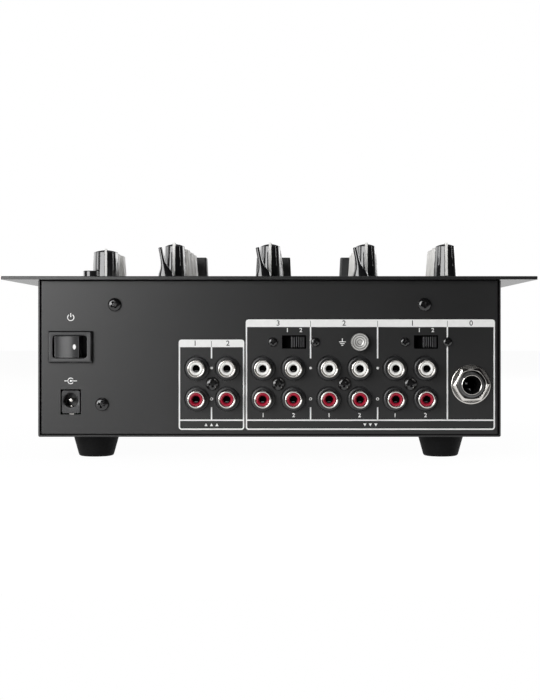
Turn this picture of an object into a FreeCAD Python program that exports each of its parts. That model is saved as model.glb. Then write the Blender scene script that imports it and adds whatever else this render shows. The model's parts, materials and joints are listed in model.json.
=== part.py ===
"""Three-channel DJ mixer for the table top: a folded steel case under a wide top plate, with knobs,
faders and input levers above and the jack panel behind.

Units are millimetres. +Z is up, the player stands at -Y, the jacks face +Y and +X is the player's
right hand. The origin is on the table, under the middle of the overall box.
"""

import FreeCAD, Part
import math
import os

from FreeCAD import Vector

# Top plate, columns of controls counted across from the middle channel
CHANNEL_PITCH = 47.0
MIC_COLUMN_GAP = 39.1
MASTER_COLUMN_GAP = 40.75
SIDE_MARGIN = 22.25
WING = 17.0
PLATE_T = 1.6
PLATE_CORNER_R = 1.0
PLATE_EDGE_R = 0.4

# Top plate, rows of controls counted from its rear edge towards the player
LEVER_ROW = 15.0
MONO_ROW = 24.0
GAIN_ROW = 28.0
KNOB_PITCH = 25.0
OUTER_KNOB_PITCH = 22.0
GAIN_TO_TREBLE = 36.0
GAIN_TO_MASTER = 52.0
BASS_TO_FADER = 18.0
FADER_TRAVEL = 60.0
FADER_TO_CUE = 22.0
CUE_TO_CROSSFADER = 38.0
CROSSFADER_TO_FRONT = 53.0
MASTER_TO_METER = 31.0

# Case
SHEET = 0.8
BEND_R = 0.8
CASE_H = 74.7
FOOT_H = 10.4
REAR_OVERHANG = 5.0
FRONT_OVERHANG = 5.0
PANEL_INSET = 0.8
TRAY_EDGE_R = 0.3
PANEL_SIDE_GAP = 0.2
PAN_DEPTH = 5.0
TRAY_FLANGE = 12.0
LUG_W = 12.0
LUG_T = 2.0
LUG_BELOW_SCREW = 5.0

# Feet
FOOT_TOP_R = 11.2
FOOT_BOTTOM_R = 8.3
FOOT_EDGE_R = 1.3
FOOT_SIDE_INSET = 26.0
FOOT_SHIFT = 0.8
FOOT_END_INSET = 18.0
FOOT_WELL_R = 4.0
FOOT_WELL_DEPTH = 5.5
FOOT_SCREW_TIP = 4.4

# Rotary controls: plain ones, and a larger one for the master level
KNOB_TOP = 17.2
KNOB_LIFT = 0.8
KNOB_BASE_R = 5.9
KNOB_TIP_R = 4.7
MASTER_BASE_R = 7.1
MASTER_TIP_R = 6.2
KNOB_RIM_R = 0.3
KNOB_CROWN = 4.0
FLUTES = 8
FLUTE_R = 0.8
FLUTE_BITE = 0.3
FLUTE_LENGTH = 10.0
POINTER_W = 1.3
POINTER_PROUD = 0.25
POINTER_RISE = 0.4
SHAFT_R = 3.0
POT_W = 10.0
POT_D = 11.0
POT_H = 7.0
POT_FLOOR = 1.0
POT_BUSH_R = 4.5

# Input levers
LEVER_TILT = 11.5
LEVER_OFFSET = 0.8
LEVER_PIVOT_LIFT = 2.4
LEVER_RISE = 14.6
LEVER_DEPTH = 5.0
LEVER_NECK = 1.2
LEVER_BASE = 3.65
LEVER_WAIST = 1.1
LEVER_TIP = 1.0
LEVER_FLARE = 5.8
LEVER_SUNK = 1.0
LEVER_HUB_R = 1.6
LEVER_PIN_R = 0.8
LEVER_BODY_W = 11.0
LEVER_BODY_H = 9.0
LEVER_WALL = 1.2

# Faders
CAP_W = 20.0
CAP_TOP_W = 18.8
CAP_D = 11.0
CAP_TOP_D = 8.6
CAP_TOP = 15.6
CAP_LIFT = 2.5
CAP_DISH_R = 14.0
CAP_DISH = 0.8
STEM_T = 1.6
STEM_L = 4.0
STEM_IN_CAP = 6.0
STEM_DEPTH = 8.0
FADER_W = 12.0
FADER_END = 12.0
FADER_SCREW_INSET = 4.0
CROSSFADER_TRAVEL = 45.0

# Push buttons
BUTTON_R = 3.8
BUTTON_PROUD = 3.5
BUTTON_SUNK = 3.0
BUTTON_EDGE_R = 0.4
BUTTON_STEM_R = 1.5
BUTTON_TRAVEL = 1.5
BUTTON_BODY_W = 7.0
BUTTON_BODY_H = 6.0
BUTTON_FLOOR = 0.6

# Level meter
METER_W = 12.0
METER_L = 46.0
METER_SUNK = 0.2

# Circuit boards
BOARD_T = 1.6
BOARD_DROP = 12.0
BOARD_SIDE_GAP = 8.8
BOARD_REAR = 11.0
BOARD_FRONT = 30.0
STANDOFF_AF = 5.5
STANDOFF_X = 67.0
STANDOFF_ROW_INSET = 20.0
RIBBON_T = 1.0
RIBBON_W = 50.0
LEAD_W = 10.0
RIBBON_LAP = 8.0

# Jack panel, heights above the case's underside and places across from the middle
JACK_LEVEL = 25.3
SWITCH_LEVEL = 45.1
TOP_SCREW_DROP = 11.8
TOP_SCREW_X = 73.7
OUTPUT_BLOCK_X = 27.2
BLOCK_PITCH = 31.4
BLOCKS = 4
JACK_PITCH = 14.5
BLOCK_MARGIN = 6.0
BLOCK_DEPTH = 12.0
COLLAR_R = 5.8
COLLAR_PROUD = 1.5
SHELL_R = 4.15
SHELL_WALL = 1.0
SHELL_LENGTH = 7.0
SHELL_LIP_R = 0.25
INSULATOR_SUNK = 0.3
JACK_BORE_R = 1.75
JACK_CONTACT_R = 2.3
JACK_CONTACT_DEPTH = 8.0
INPUT_BOARD_MARGIN = 3.0
INPUT_BOARD_GAP = 5.5
INPUT_BOARD_BOTTOM = 7.0

# Phono and line selectors beside two of the jack blocks
SELECTOR_OFFSET = 7.5
SELECTOR_W = 11.5
SELECTOR_H = 6.4
SELECTOR_SCREW_X = 10.1
SELECTOR_EAR_X = 13.4
SELECTOR_EAR_T = 1.0
SELECTOR_BODY_W = 16.0
SELECTOR_BODY_H = 7.8
SELECTOR_WELL = 6.0
SLIDER_W = 6.6
SLIDER_H = 5.3
SLIDER_TRAVEL = 3.6
SLIDER_SUNK = 0.2
SLIDER_RIBS = 4
SLIDER_RIB_PITCH = 1.05
SLIDER_GROOVE_W = 0.5
SLIDER_GROOVE = 0.6

# Ground terminal
GROUND_HEAD_R = 4.35
GROUND_HEAD_L = 4.6
GROUND_HEAD_EDGE = 0.5
GROUND_STEM_R = 1.5
GROUND_STEM_L = 9.0
GROUND_BUSH_R = 3.0
GROUND_BUSH_PROUD = 1.0
GROUND_FLANGE_R = 5.0
GROUND_FLANGE_T = 6.0

# Microphone and headphone jacks
MIC_SIDE_INSET = 14.2
MIC_DROP = 0.4
PHONES_SIDE_INSET = 25.0
PHONES_LEVEL = 30.0
PHONE_BORE_R = 3.2
PHONE_BORE_DEPTH = 24.0
PHONE_MOUTH_R = 3.75
PHONE_BUSH_R = 6.0
PHONE_BUSH_PROUD = 4.6
PHONE_BODY_W = 16.0
PHONE_BODY_L = 24.0
PHONE_WASHER_R = 9.4
PHONE_WASHER_T = 0.8
PHONE_NUT_AF = 14.9
PHONE_NUT_T = 2.8

# Power switch and inlet
POWER_SIDE_INSET = 15.4
POWER_LEVEL = 42.8
BEZEL_W = 21.0
BEZEL_H = 15.3
BEZEL_PROUD = 3.0
BEZEL_EDGE_R = 0.6
SWITCH_WELL_W = 16.2
SWITCH_WELL_H = 10.8
SWITCH_WELL_DEPTH = 11.0
SWITCH_BODY_W = 18.8
SWITCH_BODY_H = 13.4
SWITCH_BODY_L = 17.0
ROCKER_TILT = 13.0
ROCKER_HALF = 6.1
ROCKER_RISE = 6.5
ROCKER_DISH = 0.7
ROCKER_FOOT_HALF = 4.6
ROCKER_FOOT_DROP = 1.5
ROCKER_PIVOT_DEPTH = 6.0
ROCKER_PIN_R = 1.0
ROCKER_PIN_L = 1.2
INLET_LEVEL = 16.6
INLET_W = 8.7
INLET_H = 11.0
INLET_DEPTH = 14.0
INLET_FIT = 0.5
INLET_BORE_R = 3.2
INLET_BORE_RAISED = 0.8
INLET_BORE_DEPTH = 9.0
INLET_PIN_R = 1.0
INLET_PIN_SUNK = 0.8
POWER_SCREW_OFFSET = 14.9
POWER_SCREW_LEVEL = 15.5
POWER_BOARD_SIDE = 5.0
POWER_BOARD_INNER = 23.0
POWER_BOARD_CLEAR = 1.5
POWER_BOARD_TOP = 33.5

# Fasteners
PAN_HEAD_R = 3.2
PAN_HEAD_H = 2.2
PAN_HEAD_EDGE = 1.2
PAN_SHANK_R = 1.5
PAN_SHANK_L = 4.8
SMALL_HEAD_R = 2.25
SMALL_HEAD_H = 1.6
SMALL_HEAD_EDGE = 0.8
SMALL_SHANK_R = 1.1
SMALL_SHANK_L = 4.0
FLUSH_HEAD_R = 3.0
FLUSH_HEAD_H = 1.5
FLUSH_SHANK_R = 1.5
FLUSH_SHANK_L = 6.0
CROSS_W = 0.9
CROSS_SPAN = 0.55
CROSS_DEPTH = 0.6
PLATE_SCREW_END = 22.0
PLATE_SCREWS_A_SIDE = 3

# Clearances
SHAFT_FIT = 0.08
PRESS_FIT = 0.02
HOLE_FIT = 0.2
SLIDE_FIT = 0.3
SWING_FIT = 0.5

# Places that follow from the sizes above
MIC_X = -CHANNEL_PITCH - MIC_COLUMN_GAP
MASTER_X = CHANNEL_PITCH + MASTER_COLUMN_GAP
CHANNEL_X = [-CHANNEL_PITCH, 0.0, CHANNEL_PITCH]
CASE_HALF_W = MASTER_X + SIDE_MARGIN
PLATE_HALF_W = CASE_HALF_W + WING
TREBLE_ROW = GAIN_ROW + GAIN_TO_TREBLE
BASS_ROW = TREBLE_ROW + 2 * KNOB_PITCH
FADER_ROW = BASS_ROW + BASS_TO_FADER
CUE_ROW = FADER_ROW + FADER_TRAVEL + FADER_TO_CUE
CROSSFADER_ROW = CUE_ROW + CUE_TO_CROSSFADER
PLATE_D = CROSSFADER_ROW + CROSSFADER_TO_FRONT
MASTER_ROW = GAIN_ROW + GAIN_TO_MASTER
METER_ROW = MASTER_ROW + 2 * OUTER_KNOB_PITCH + MASTER_TO_METER

SHELL_REACH = COLLAR_PROUD + SHELL_LENGTH
REAR_REACH = max(SHELL_REACH - REAR_OVERHANG, 0.0)
REAR_EDGE_Y = (PLATE_D - REAR_REACH) / 2
FRONT_EDGE_Y = REAR_EDGE_Y - PLATE_D
PANEL_Y = REAR_EDGE_Y - REAR_OVERHANG
FRONT_PANEL_Y = FRONT_EDGE_Y + FRONT_OVERHANG
PANEL_BACK_Y = PANEL_Y - SHEET

CASE_Z = FOOT_H
PLATE_Z = CASE_Z + CASE_H
TOP_Z = PLATE_Z + PLATE_T
BOARD_Z = PLATE_Z - BOARD_DROP
JACK_Z = CASE_Z + JACK_LEVEL
SELECTOR_Z = CASE_Z + SWITCH_LEVEL
POWER_X = CASE_HALF_W - POWER_SIDE_INSET
MIC_JACK_X = MIC_SIDE_INSET - CASE_HALF_W
MIC_JACK_Z = JACK_Z - MIC_DROP
BLOCK_X = [OUTPUT_BLOCK_X - k * BLOCK_PITCH for k in range(BLOCKS)]
SELECTOR_X = [BLOCK_X[1] - SELECTOR_OFFSET, BLOCK_X[3] - SELECTOR_OFFSET]
GROUND_X = BLOCK_X[2] - JACK_PITCH / 2
PAN_HALF_W = CASE_HALF_W - SHEET - PANEL_SIDE_GAP
FLANGE_SCREW_X = CASE_HALF_W - SHEET - TRAY_FLANGE / 2
LEVER_PIVOT_Z = BOARD_Z + LEVER_PIVOT_LIFT
LEVER_PIVOT_BELOW = TOP_Z - LEVER_PIVOT_Z

UP = Vector(0, 0, 1)
REARWARD = Vector(0, 1, 0)
SIDEWAYS = Vector(1, 0, 0)
ORIGIN = Vector(0, 0, 0)


def row_y(row):
    """Y of a row given by its distance from the plate's rear edge."""
    return REAR_EDGE_Y - row


def block(x0, x1, y0, y1, z0, z1):
    """A box between two opposite corners."""
    return Part.makeBox(x1 - x0, y1 - y0, z1 - z0, Vector(x0, y0, z0))


def centred(x, y, width, depth, z0, z1):
    """A box centred on an upright axis."""
    return block(x - width / 2, x + width / 2, y - depth / 2, y + depth / 2, z0, z1)


def post(radius, x, y, z0, z1):
    """An upright cylinder."""
    return Part.makeCylinder(radius, z1 - z0, Vector(x, y, z0), UP)


def rod(radius, x, z, y0, y1):
    """A cylinder that lies front to back."""
    return Part.makeCylinder(radius, y1 - y0, Vector(x, y0, z), REARWARD)


def window(x, z, width, height, y0, y1):
    """A box centred on a front-to-back axis."""
    return block(x - width / 2, x + width / 2, y0, y1, z - height / 2, z + height / 2)


def hexagon(across_flats, length):
    """A hexagonal bar that stands on the origin."""
    radius = across_flats / math.sqrt(3)
    turns = [math.radians(60 * k) for k in range(7)]
    corners = [Vector(radius * math.cos(a), radius * math.sin(a), 0) for a in turns]
    return Part.Face(Part.makePolygon(corners)).extrude(Vector(0, 0, length))


def to_rear(shape, x, y, z):
    """Turn a shape that stands on the origin so that it points to the rear, and place it."""
    return shape.rotated(ORIGIN, SIDEWAYS, -90).translated(Vector(x, y, z))


def to_front(shape, x, y, z):
    """Turn a shape that stands on the origin so that it points to the player, and place it."""
    return shape.rotated(ORIGIN, SIDEWAYS, 90).translated(Vector(x, y, z))


def round_edges(solid, radius, wanted):
    """Fillet the edges whose end points all satisfy a test."""
    edges = [e for e in solid.Edges if all(wanted(v.Point) for v in e.Vertexes)]
    return solid.makeFillet(radius, edges)


def near(a, b):
    """Whether two lengths are the same."""
    return abs(a - b) < 1e-6


def fuse(first, *others):
    """One solid out of touching or crossing solids."""
    return first.multiFuse(list(others)).removeSplitter()


def cut(solid, cutters):
    """A solid less a list of cutters."""
    return solid.cut(Part.makeCompound(cutters))


def save(node, solids):
    """Write one node, which is one solid or a group of separate solids."""
    shape = solids[0] if len(solids) == 1 else Part.makeCompound(solids)
    if not shape.isValid():
        raise ValueError(node)
    shape.exportStep(f"parts/{node}.step")
    print(node, len(shape.Solids), round(shape.Volume, 1))


# Fasteners


def cross_recess(head_r, top):
    """The cross-shaped driver recess in a head whose top is at a given height."""
    span = head_r * 2 * CROSS_SPAN
    bar = centred(0, 0, span, CROSS_W, top * (1 - CROSS_DEPTH), top + 1)
    return [bar, bar.rotated(ORIGIN, UP, 90)]


def raised_screw(head_r, head_h, edge, shank_r, shank_l):
    """A screw with a domed head, seated at the origin with its shank below."""
    head = Part.makeCylinder(head_r, head_h)
    head = round_edges(head, edge, lambda p: near(p.z, head_h))
    screw = fuse(head, post(shank_r, 0, 0, -shank_l, 0))
    return cut(screw, cross_recess(head_r, head_h))


def pan_screw():
    """The screw that holds the jack panel and the jack blocks."""
    return raised_screw(PAN_HEAD_R, PAN_HEAD_H, PAN_HEAD_EDGE, PAN_SHANK_R, PAN_SHANK_L)


def small_screw():
    """The screw at each end of a selector."""
    return raised_screw(SMALL_HEAD_R, SMALL_HEAD_H, SMALL_HEAD_EDGE, SMALL_SHANK_R, SMALL_SHANK_L)


def flush_cone(spare):
    """A countersunk head with its top at the origin, grown by a clearance."""
    return Part.makeCone(FLUSH_SHANK_R + spare, FLUSH_HEAD_R + spare, FLUSH_HEAD_H,
                         Vector(0, 0, -FLUSH_HEAD_H))


def flush_screw():
    """A countersunk screw with its head's top at the origin."""
    screw = fuse(flush_cone(0), post(FLUSH_SHANK_R, 0, 0, -FLUSH_SHANK_L, -FLUSH_HEAD_H))
    recess = [r.translated(Vector(0, 0, -FLUSH_HEAD_H)) for r in cross_recess(FLUSH_HEAD_R, FLUSH_HEAD_H)]
    return cut(screw, recess)


def plate_screw_places():
    """The countersunk screws along both sides of the top plate."""
    first = PLATE_SCREW_END
    step = (PLATE_D - 2 * PLATE_SCREW_END) / (PLATE_SCREWS_A_SIDE - 1)
    rows = [first + k * step for k in range(PLATE_SCREWS_A_SIDE)]
    return [(side * FLANGE_SCREW_X, row_y(row)) for side in (-1, 1) for row in rows]


def fader_screw_places():
    """The countersunk screws at both ends of each fader housing."""
    places = []
    middle = FADER_ROW + FADER_TRAVEL / 2
    reach = FADER_TRAVEL / 2 + FADER_END - FADER_SCREW_INSET
    for x in CHANNEL_X:
        places += [(x, row_y(middle - reach)), (x, row_y(middle + reach))]
    reach = CROSSFADER_TRAVEL / 2 + FADER_END - FADER_SCREW_INSET
    places += [(-reach, row_y(CROSSFADER_ROW)), (reach, row_y(CROSSFADER_ROW))]
    return places


def foot_places():
    """The four feet."""
    x = CASE_HALF_W - FOOT_SIDE_INSET
    ys = (PANEL_Y - FOOT_END_INSET, FRONT_PANEL_Y + FOOT_END_INSET)
    return [(side * x + FOOT_SHIFT, y) for side in (-1, 1) for y in ys]


# Case


def chassis_tray():
    """Floor and sides in one folded sheet, with flanges along the top for the plate."""
    y0 = FRONT_PANEL_Y - PANEL_INSET
    y1 = PANEL_Y + PANEL_INSET
    outer = block(-CASE_HALF_W, CASE_HALF_W, y0, y1, CASE_Z, PLATE_Z)
    bends = [e for e in outer.Edges if near(e.BoundBox.XLength, 0) and near(e.BoundBox.ZLength, 0)]
    outer = outer.makeFillet(BEND_R, bends)
    rims = [e for e in outer.Edges if near(e.Vertexes[0].Y, e.Vertexes[-1].Y)]
    outer = outer.makeFillet(TRAY_EDGE_R, rims)
    inside = CASE_HALF_W - SHEET
    flange_y0 = FRONT_PANEL_Y + PAN_DEPTH + SLIDE_FIT
    flange_y1 = PANEL_Y - PAN_DEPTH - SLIDE_FIT
    hollow = fuse(
        block(-inside, inside, y0, y1, CASE_Z + SHEET, PLATE_Z - SHEET),
        block(TRAY_FLANGE - inside, inside - TRAY_FLANGE, y0, y1, PLATE_Z - SHEET, PLATE_Z),
        block(-inside, inside, y0, flange_y0, PLATE_Z - SHEET, PLATE_Z),
        block(-inside, inside, flange_y1, y1, PLATE_Z - SHEET, PLATE_Z),
    )
    cutters = [hollow]
    for x, y in foot_places():
        cutters.append(post(PAN_SHANK_R + HOLE_FIT, x, y, CASE_Z, CASE_Z + SHEET))
    for x, y in plate_screw_places():
        cutters.append(post(FLUSH_SHANK_R + HOLE_FIT, x, y, PLATE_Z - SHEET, PLATE_Z))
    return cut(outer, cutters)


def folded_panel(face_y, inward):
    """An end panel with its four edges folded in. It stands on the tray and meets the plate."""
    bottom = CASE_Z + SHEET
    y0, y1 = sorted((face_y, face_y + inward * PAN_DEPTH))
    outer = block(-PAN_HALF_W, PAN_HALF_W, y0, y1, bottom, PLATE_Z)
    outer = round_edges(outer, BEND_R, lambda p: near(p.y, face_y))
    inside = PAN_HALF_W - SHEET
    y0, y1 = sorted((face_y + inward * SHEET, face_y + inward * PAN_DEPTH))
    return outer.cut(block(-inside, inside, y0, y1, bottom + SHEET, PLATE_Z - SHEET))


def panel_screw_places():
    """The domed screws of the jack panel: into the plate's lugs, the power post and the jack blocks."""
    top = PLATE_Z - TOP_SCREW_DROP
    places = [(TOP_SCREW_X, top), (-TOP_SCREW_X, top)]
    places.append((POWER_X - POWER_SCREW_OFFSET, CASE_Z + POWER_SCREW_LEVEL))
    return places + [(x, JACK_Z) for x in BLOCK_X]


def selector_screw_places():
    """The small screws at both ends of each selector."""
    return [(x + side * SELECTOR_SCREW_X, SELECTOR_Z) for x in SELECTOR_X for side in (-1, 1)]


def jack_places():
    """Every phono socket as (x, z, whether it is in the upper row)."""
    half = JACK_PITCH / 2
    places = []
    for x in BLOCK_X:
        for side in (-1, 1):
            places += [(x + side * half, JACK_Z + half, True), (x + side * half, JACK_Z - half, False)]
    return places


def rear_panel():
    """The jack panel with its holes and windows."""
    y0 = PANEL_BACK_Y
    y1 = PANEL_Y
    cutters = [rod(COLLAR_R + SLIDE_FIT, x, z, y0, y1) for x, z, upper in jack_places()]
    cutters += [rod(PAN_SHANK_R + HOLE_FIT, x, z, y0, y1) for x, z in panel_screw_places()]
    cutters += [rod(SMALL_SHANK_R + HOLE_FIT, x, z, y0, y1) for x, z in selector_screw_places()]
    cutters += [window(x, SELECTOR_Z, SELECTOR_W, SELECTOR_H, y0, y1) for x in SELECTOR_X]
    cutters.append(rod(GROUND_BUSH_R + HOLE_FIT, GROUND_X, SELECTOR_Z, y0, y1))
    cutters.append(rod(PHONE_BUSH_R + HOLE_FIT, MIC_JACK_X, MIC_JACK_Z, y0, y1))
    cutters.append(window(POWER_X, CASE_Z + POWER_LEVEL, SWITCH_BODY_W + 2 * HOLE_FIT,
                          SWITCH_BODY_H + 2 * HOLE_FIT, y0, y1))
    cutters.append(window(POWER_X, CASE_Z + INLET_LEVEL, INLET_W + 2 * INLET_FIT,
                          INLET_H + 2 * INLET_FIT, y0, y1))
    for side in (-1, 1):
        notch = LUG_W / 2 + SWING_FIT
        cutters.append(block(side * TOP_SCREW_X - notch, side * TOP_SCREW_X + notch,
                             PANEL_Y - PAN_DEPTH, PANEL_BACK_Y, PLATE_Z - SHEET, PLATE_Z))
    return cut(folded_panel(PANEL_Y, -1), cutters)


def front_panel():
    """The player's side panel with the headphone hole."""
    hole = rod(PHONE_BUSH_R + HOLE_FIT, CASE_HALF_W - PHONES_SIDE_INSET, CASE_Z + PHONES_LEVEL,
               FRONT_PANEL_Y, FRONT_PANEL_Y + SHEET)
    return folded_panel(FRONT_PANEL_Y, 1).cut(hole)


def lever_slot():
    """Length of the plate's slot for an input lever that swings to both sides."""
    swing = LEVER_PIVOT_BELOW * math.sin(math.radians(LEVER_TILT))
    return 2 * (LEVER_BASE + swing + SWING_FIT)


def top_plate():
    """The control plate with two lugs welded below it for the jack panel's upper screws."""
    plate = block(-PLATE_HALF_W, PLATE_HALF_W, FRONT_EDGE_Y, REAR_EDGE_Y, PLATE_Z, TOP_Z)
    plate = plate.makeFillet(PLATE_CORNER_R, [e for e in plate.Edges
                                              if near(e.Vertexes[0].X, e.Vertexes[1].X)
                                              and near(e.Vertexes[0].Y, e.Vertexes[1].Y)])
    plate = round_edges(plate, PLATE_EDGE_R, lambda p: near(p.z, TOP_Z))
    lug_low = PLATE_Z - TOP_SCREW_DROP - LUG_BELOW_SCREW
    for side in (-1, 1):
        lug = centred(side * TOP_SCREW_X, PANEL_BACK_Y - LUG_T / 2, LUG_W, LUG_T, lug_low, PLATE_Z)
        plate = fuse(plate, lug)
    cutters = [post(POT_BUSH_R + HOLE_FIT, x, y, PLATE_Z, TOP_Z) for name, x, y, large in knob_places()]
    for x in CHANNEL_X:
        cutters.append(centred(x + LEVER_OFFSET, row_y(LEVER_ROW), lever_slot(),
                               LEVER_DEPTH + 2 * SWING_FIT, PLATE_Z, TOP_Z))
        middle = row_y(FADER_ROW + FADER_TRAVEL / 2)
        cutters.append(centred(x, middle, fader_slot_w(), FADER_TRAVEL + fader_slot_spare(), PLATE_Z, TOP_Z))
    cutters.append(centred(0, row_y(CROSSFADER_ROW), CROSSFADER_TRAVEL + fader_slot_spare(),
                           fader_slot_w(), PLATE_Z, TOP_Z))
    cutters += [post(BUTTON_R + SLIDE_FIT, x, y, PLATE_Z, TOP_Z) for name, x, y in button_places()]
    cutters.append(centred(MASTER_X, row_y(METER_ROW + METER_L / 2), METER_W + 2 * HOLE_FIT,
                           METER_L + 2 * HOLE_FIT, PLATE_Z, TOP_Z))
    for x, y in plate_screw_places() + fader_screw_places():
        cutters.append(flush_cone(HOLE_FIT).translated(Vector(x, y, TOP_Z)))
        cutters.append(post(FLUSH_SHANK_R + HOLE_FIT, x, y, PLATE_Z, TOP_Z - FLUSH_HEAD_H))
    for side in (-1, 1):
        cutters.append(rod(PAN_SHANK_R + SHAFT_FIT, side * TOP_SCREW_X, PLATE_Z - TOP_SCREW_DROP,
                           PANEL_BACK_Y - LUG_T, PANEL_BACK_Y))
    return cut(plate, cutters)


def rubber_foot(x, y):
    """A tapered round foot with a well for its screw."""
    cone = Part.makeCone(FOOT_BOTTOM_R, FOOT_TOP_R, FOOT_H)
    cone = cone.makeFillet(FOOT_EDGE_R, [e for e in cone.Edges
                                         if len(e.Vertexes) == 1 and near(e.Vertexes[0].Z, 0)])
    well = post(FOOT_WELL_R, 0, 0, 0, FOOT_WELL_DEPTH)
    hole = post(PAN_SHANK_R + HOLE_FIT, 0, 0, 0, FOOT_H)
    return cut(cone, [well, hole]).translated(Vector(x, y, 0))


def foot_screw(x, y):
    """A domed screw that holds a foot to the tray from below."""
    length = FOOT_H - FOOT_WELL_DEPTH + SHEET + FOOT_SCREW_TIP
    screw = raised_screw(PAN_HEAD_R, PAN_HEAD_H, PAN_HEAD_EDGE, PAN_SHANK_R, length)
    return screw.rotated(ORIGIN, SIDEWAYS, 180).translated(Vector(x, y, FOOT_WELL_DEPTH))


# Rotary controls


def knob_places():
    """Every knob as (node, x, y, whether it is one of the larger ones)."""
    places = []
    for k, name in enumerate(("mic_level", "mic_treble", "mic_bass")):
        places.append((f"{name}_knob", MIC_X, row_y(GAIN_ROW + k * OUTER_KNOB_PITCH), False))
    for channel, x in enumerate(CHANNEL_X, start=1):
        places.append((f"channel_{channel}_gain_knob", x, row_y(GAIN_ROW), False))
        for k, name in enumerate(("treble", "mid", "bass")):
            row = TREBLE_ROW + k * KNOB_PITCH
            places.append((f"channel_{channel}_{name}_knob", x, row_y(row), False))
    for k, name in enumerate(("master_level", "cue_mix", "cue_level")):
        places.append((f"{name}_knob", MASTER_X, row_y(MASTER_ROW + k * OUTER_KNOB_PITCH), k == 0))
    return places


def knob(base_r, tip_r):
    """A tapered fluted knob on the origin, its pointer to the rear."""
    height = KNOB_TOP - KNOB_LIFT - POINTER_RISE
    body = Part.makeCone(base_r, tip_r, height)
    body = round_edges(body, KNOB_RIM_R, lambda p: near(p.z, height))
    lean = math.degrees(math.atan((base_r - tip_r) / height))
    flute_foot = height - FLUTE_LENGTH
    flute_r = base_r + (tip_r - base_r) * flute_foot / height + FLUTE_R - FLUTE_BITE
    groove = fuse(Part.makeCylinder(FLUTE_R, 2 * FLUTE_LENGTH), Part.makeSphere(FLUTE_R))
    groove = groove.rotated(ORIGIN, SIDEWAYS, lean).translated(Vector(0, flute_r, flute_foot))
    step = 360 / (FLUTES + 1)
    cutters = [groove.rotated(ORIGIN, UP, step * k) for k in range(1, FLUTES + 1)]
    cutters.append(post(SHAFT_R + PRESS_FIT, 0, 0, 0, height - KNOB_CROWN))
    rib = Part.makePolygon([
        Vector(0, 0, height - KNOB_CROWN / 2),
        Vector(0, base_r + POINTER_PROUD, 0),
        Vector(0, tip_r + POINTER_PROUD, height + POINTER_RISE),
        Vector(0, 0, height + POINTER_RISE),
        Vector(0, 0, height - KNOB_CROWN / 2),
    ])
    rib = Part.Face(rib).extrude(Vector(POINTER_W, 0, 0)).translated(Vector(-POINTER_W / 2, 0, 0))
    pointer = rib.cut(post(SHAFT_R + PRESS_FIT, 0, 0, 0, height - KNOB_CROWN))
    return fuse(cut(body, cutters), pointer)


def knob_with_shaft(shape, x, y):
    """A knob and the shaft that it is pressed on, which turn together."""
    knob_z = TOP_Z + KNOB_LIFT
    shaft_top = TOP_Z + KNOB_TOP - POINTER_RISE - KNOB_CROWN
    shaft = post(SHAFT_R, x, y, BOARD_Z + POT_FLOOR + SHAFT_FIT, shaft_top)
    return [shape.translated(Vector(x, y, knob_z)), shaft]


def potentiometer_body(x, y):
    """The fixed part of a potentiometer: a case on the board and a bush up through the plate."""
    case = centred(x, y, POT_W, POT_D, BOARD_Z, BOARD_Z + POT_H)
    body = fuse(case, post(POT_BUSH_R, x, y, BOARD_Z, TOP_Z))
    return body.cut(post(SHAFT_R + SHAFT_FIT, x, y, BOARD_Z + POT_FLOOR, TOP_Z))


# Input levers


def lever(x):
    """A paddle with a flared root, on a hub with pivot pins, leaning to the player's right."""
    root = LEVER_PIVOT_BELOW
    tip = (root + LEVER_RISE) / math.cos(math.radians(LEVER_TILT))
    waist = root + LEVER_FLARE
    ledge = root - LEVER_SUNK
    left = [(-LEVER_NECK, 0), (-LEVER_NECK, ledge), (-LEVER_BASE, ledge), (-LEVER_BASE, root)]
    flare_mid = (LEVER_WAIST + (LEVER_BASE - LEVER_WAIST) / 3, root + LEVER_FLARE / 3)
    shoulder = tip - LEVER_TIP

    def at(u, w):
        return Vector(u, 0, w)

    edges = []
    for a, b in zip(left, left[1:]):
        edges.append(Part.makeLine(at(*a), at(*b)))
    edges.append(Part.Arc(at(-LEVER_BASE, root), at(-flare_mid[0], flare_mid[1]), at(-LEVER_WAIST, waist)).toShape())
    edges.append(Part.makeLine(at(-LEVER_WAIST, waist), at(-LEVER_TIP, shoulder)))
    edges.append(Part.Arc(at(-LEVER_TIP, shoulder), at(0, tip), at(LEVER_TIP, shoulder)).toShape())
    edges.append(Part.makeLine(at(LEVER_TIP, shoulder), at(LEVER_WAIST, waist)))
    edges.append(Part.Arc(at(LEVER_WAIST, waist), at(*flare_mid), at(LEVER_BASE, root)).toShape())
    for a, b in zip(left[::-1], left[-2::-1]):
        edges.append(Part.makeLine(at(-a[0], a[1]), at(-b[0], b[1])))
    edges.append(Part.makeLine(at(LEVER_NECK, 0), at(-LEVER_NECK, 0)))
    paddle = Part.Face(Part.Wire(edges)).extrude(Vector(0, LEVER_DEPTH, 0))
    paddle = paddle.translated(Vector(0, -LEVER_DEPTH / 2, 0))
    half = LEVER_DEPTH / 2
    reach = half + SLIDE_FIT + LEVER_WALL - SHAFT_FIT
    solid = fuse(paddle, rod(LEVER_HUB_R, 0, 0, -half, half), rod(LEVER_PIN_R, 0, 0, -reach, reach))
    solid = solid.rotated(ORIGIN, REARWARD, LEVER_TILT)
    return solid.translated(Vector(x + LEVER_OFFSET, row_y(LEVER_ROW), LEVER_PIVOT_Z))


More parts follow.
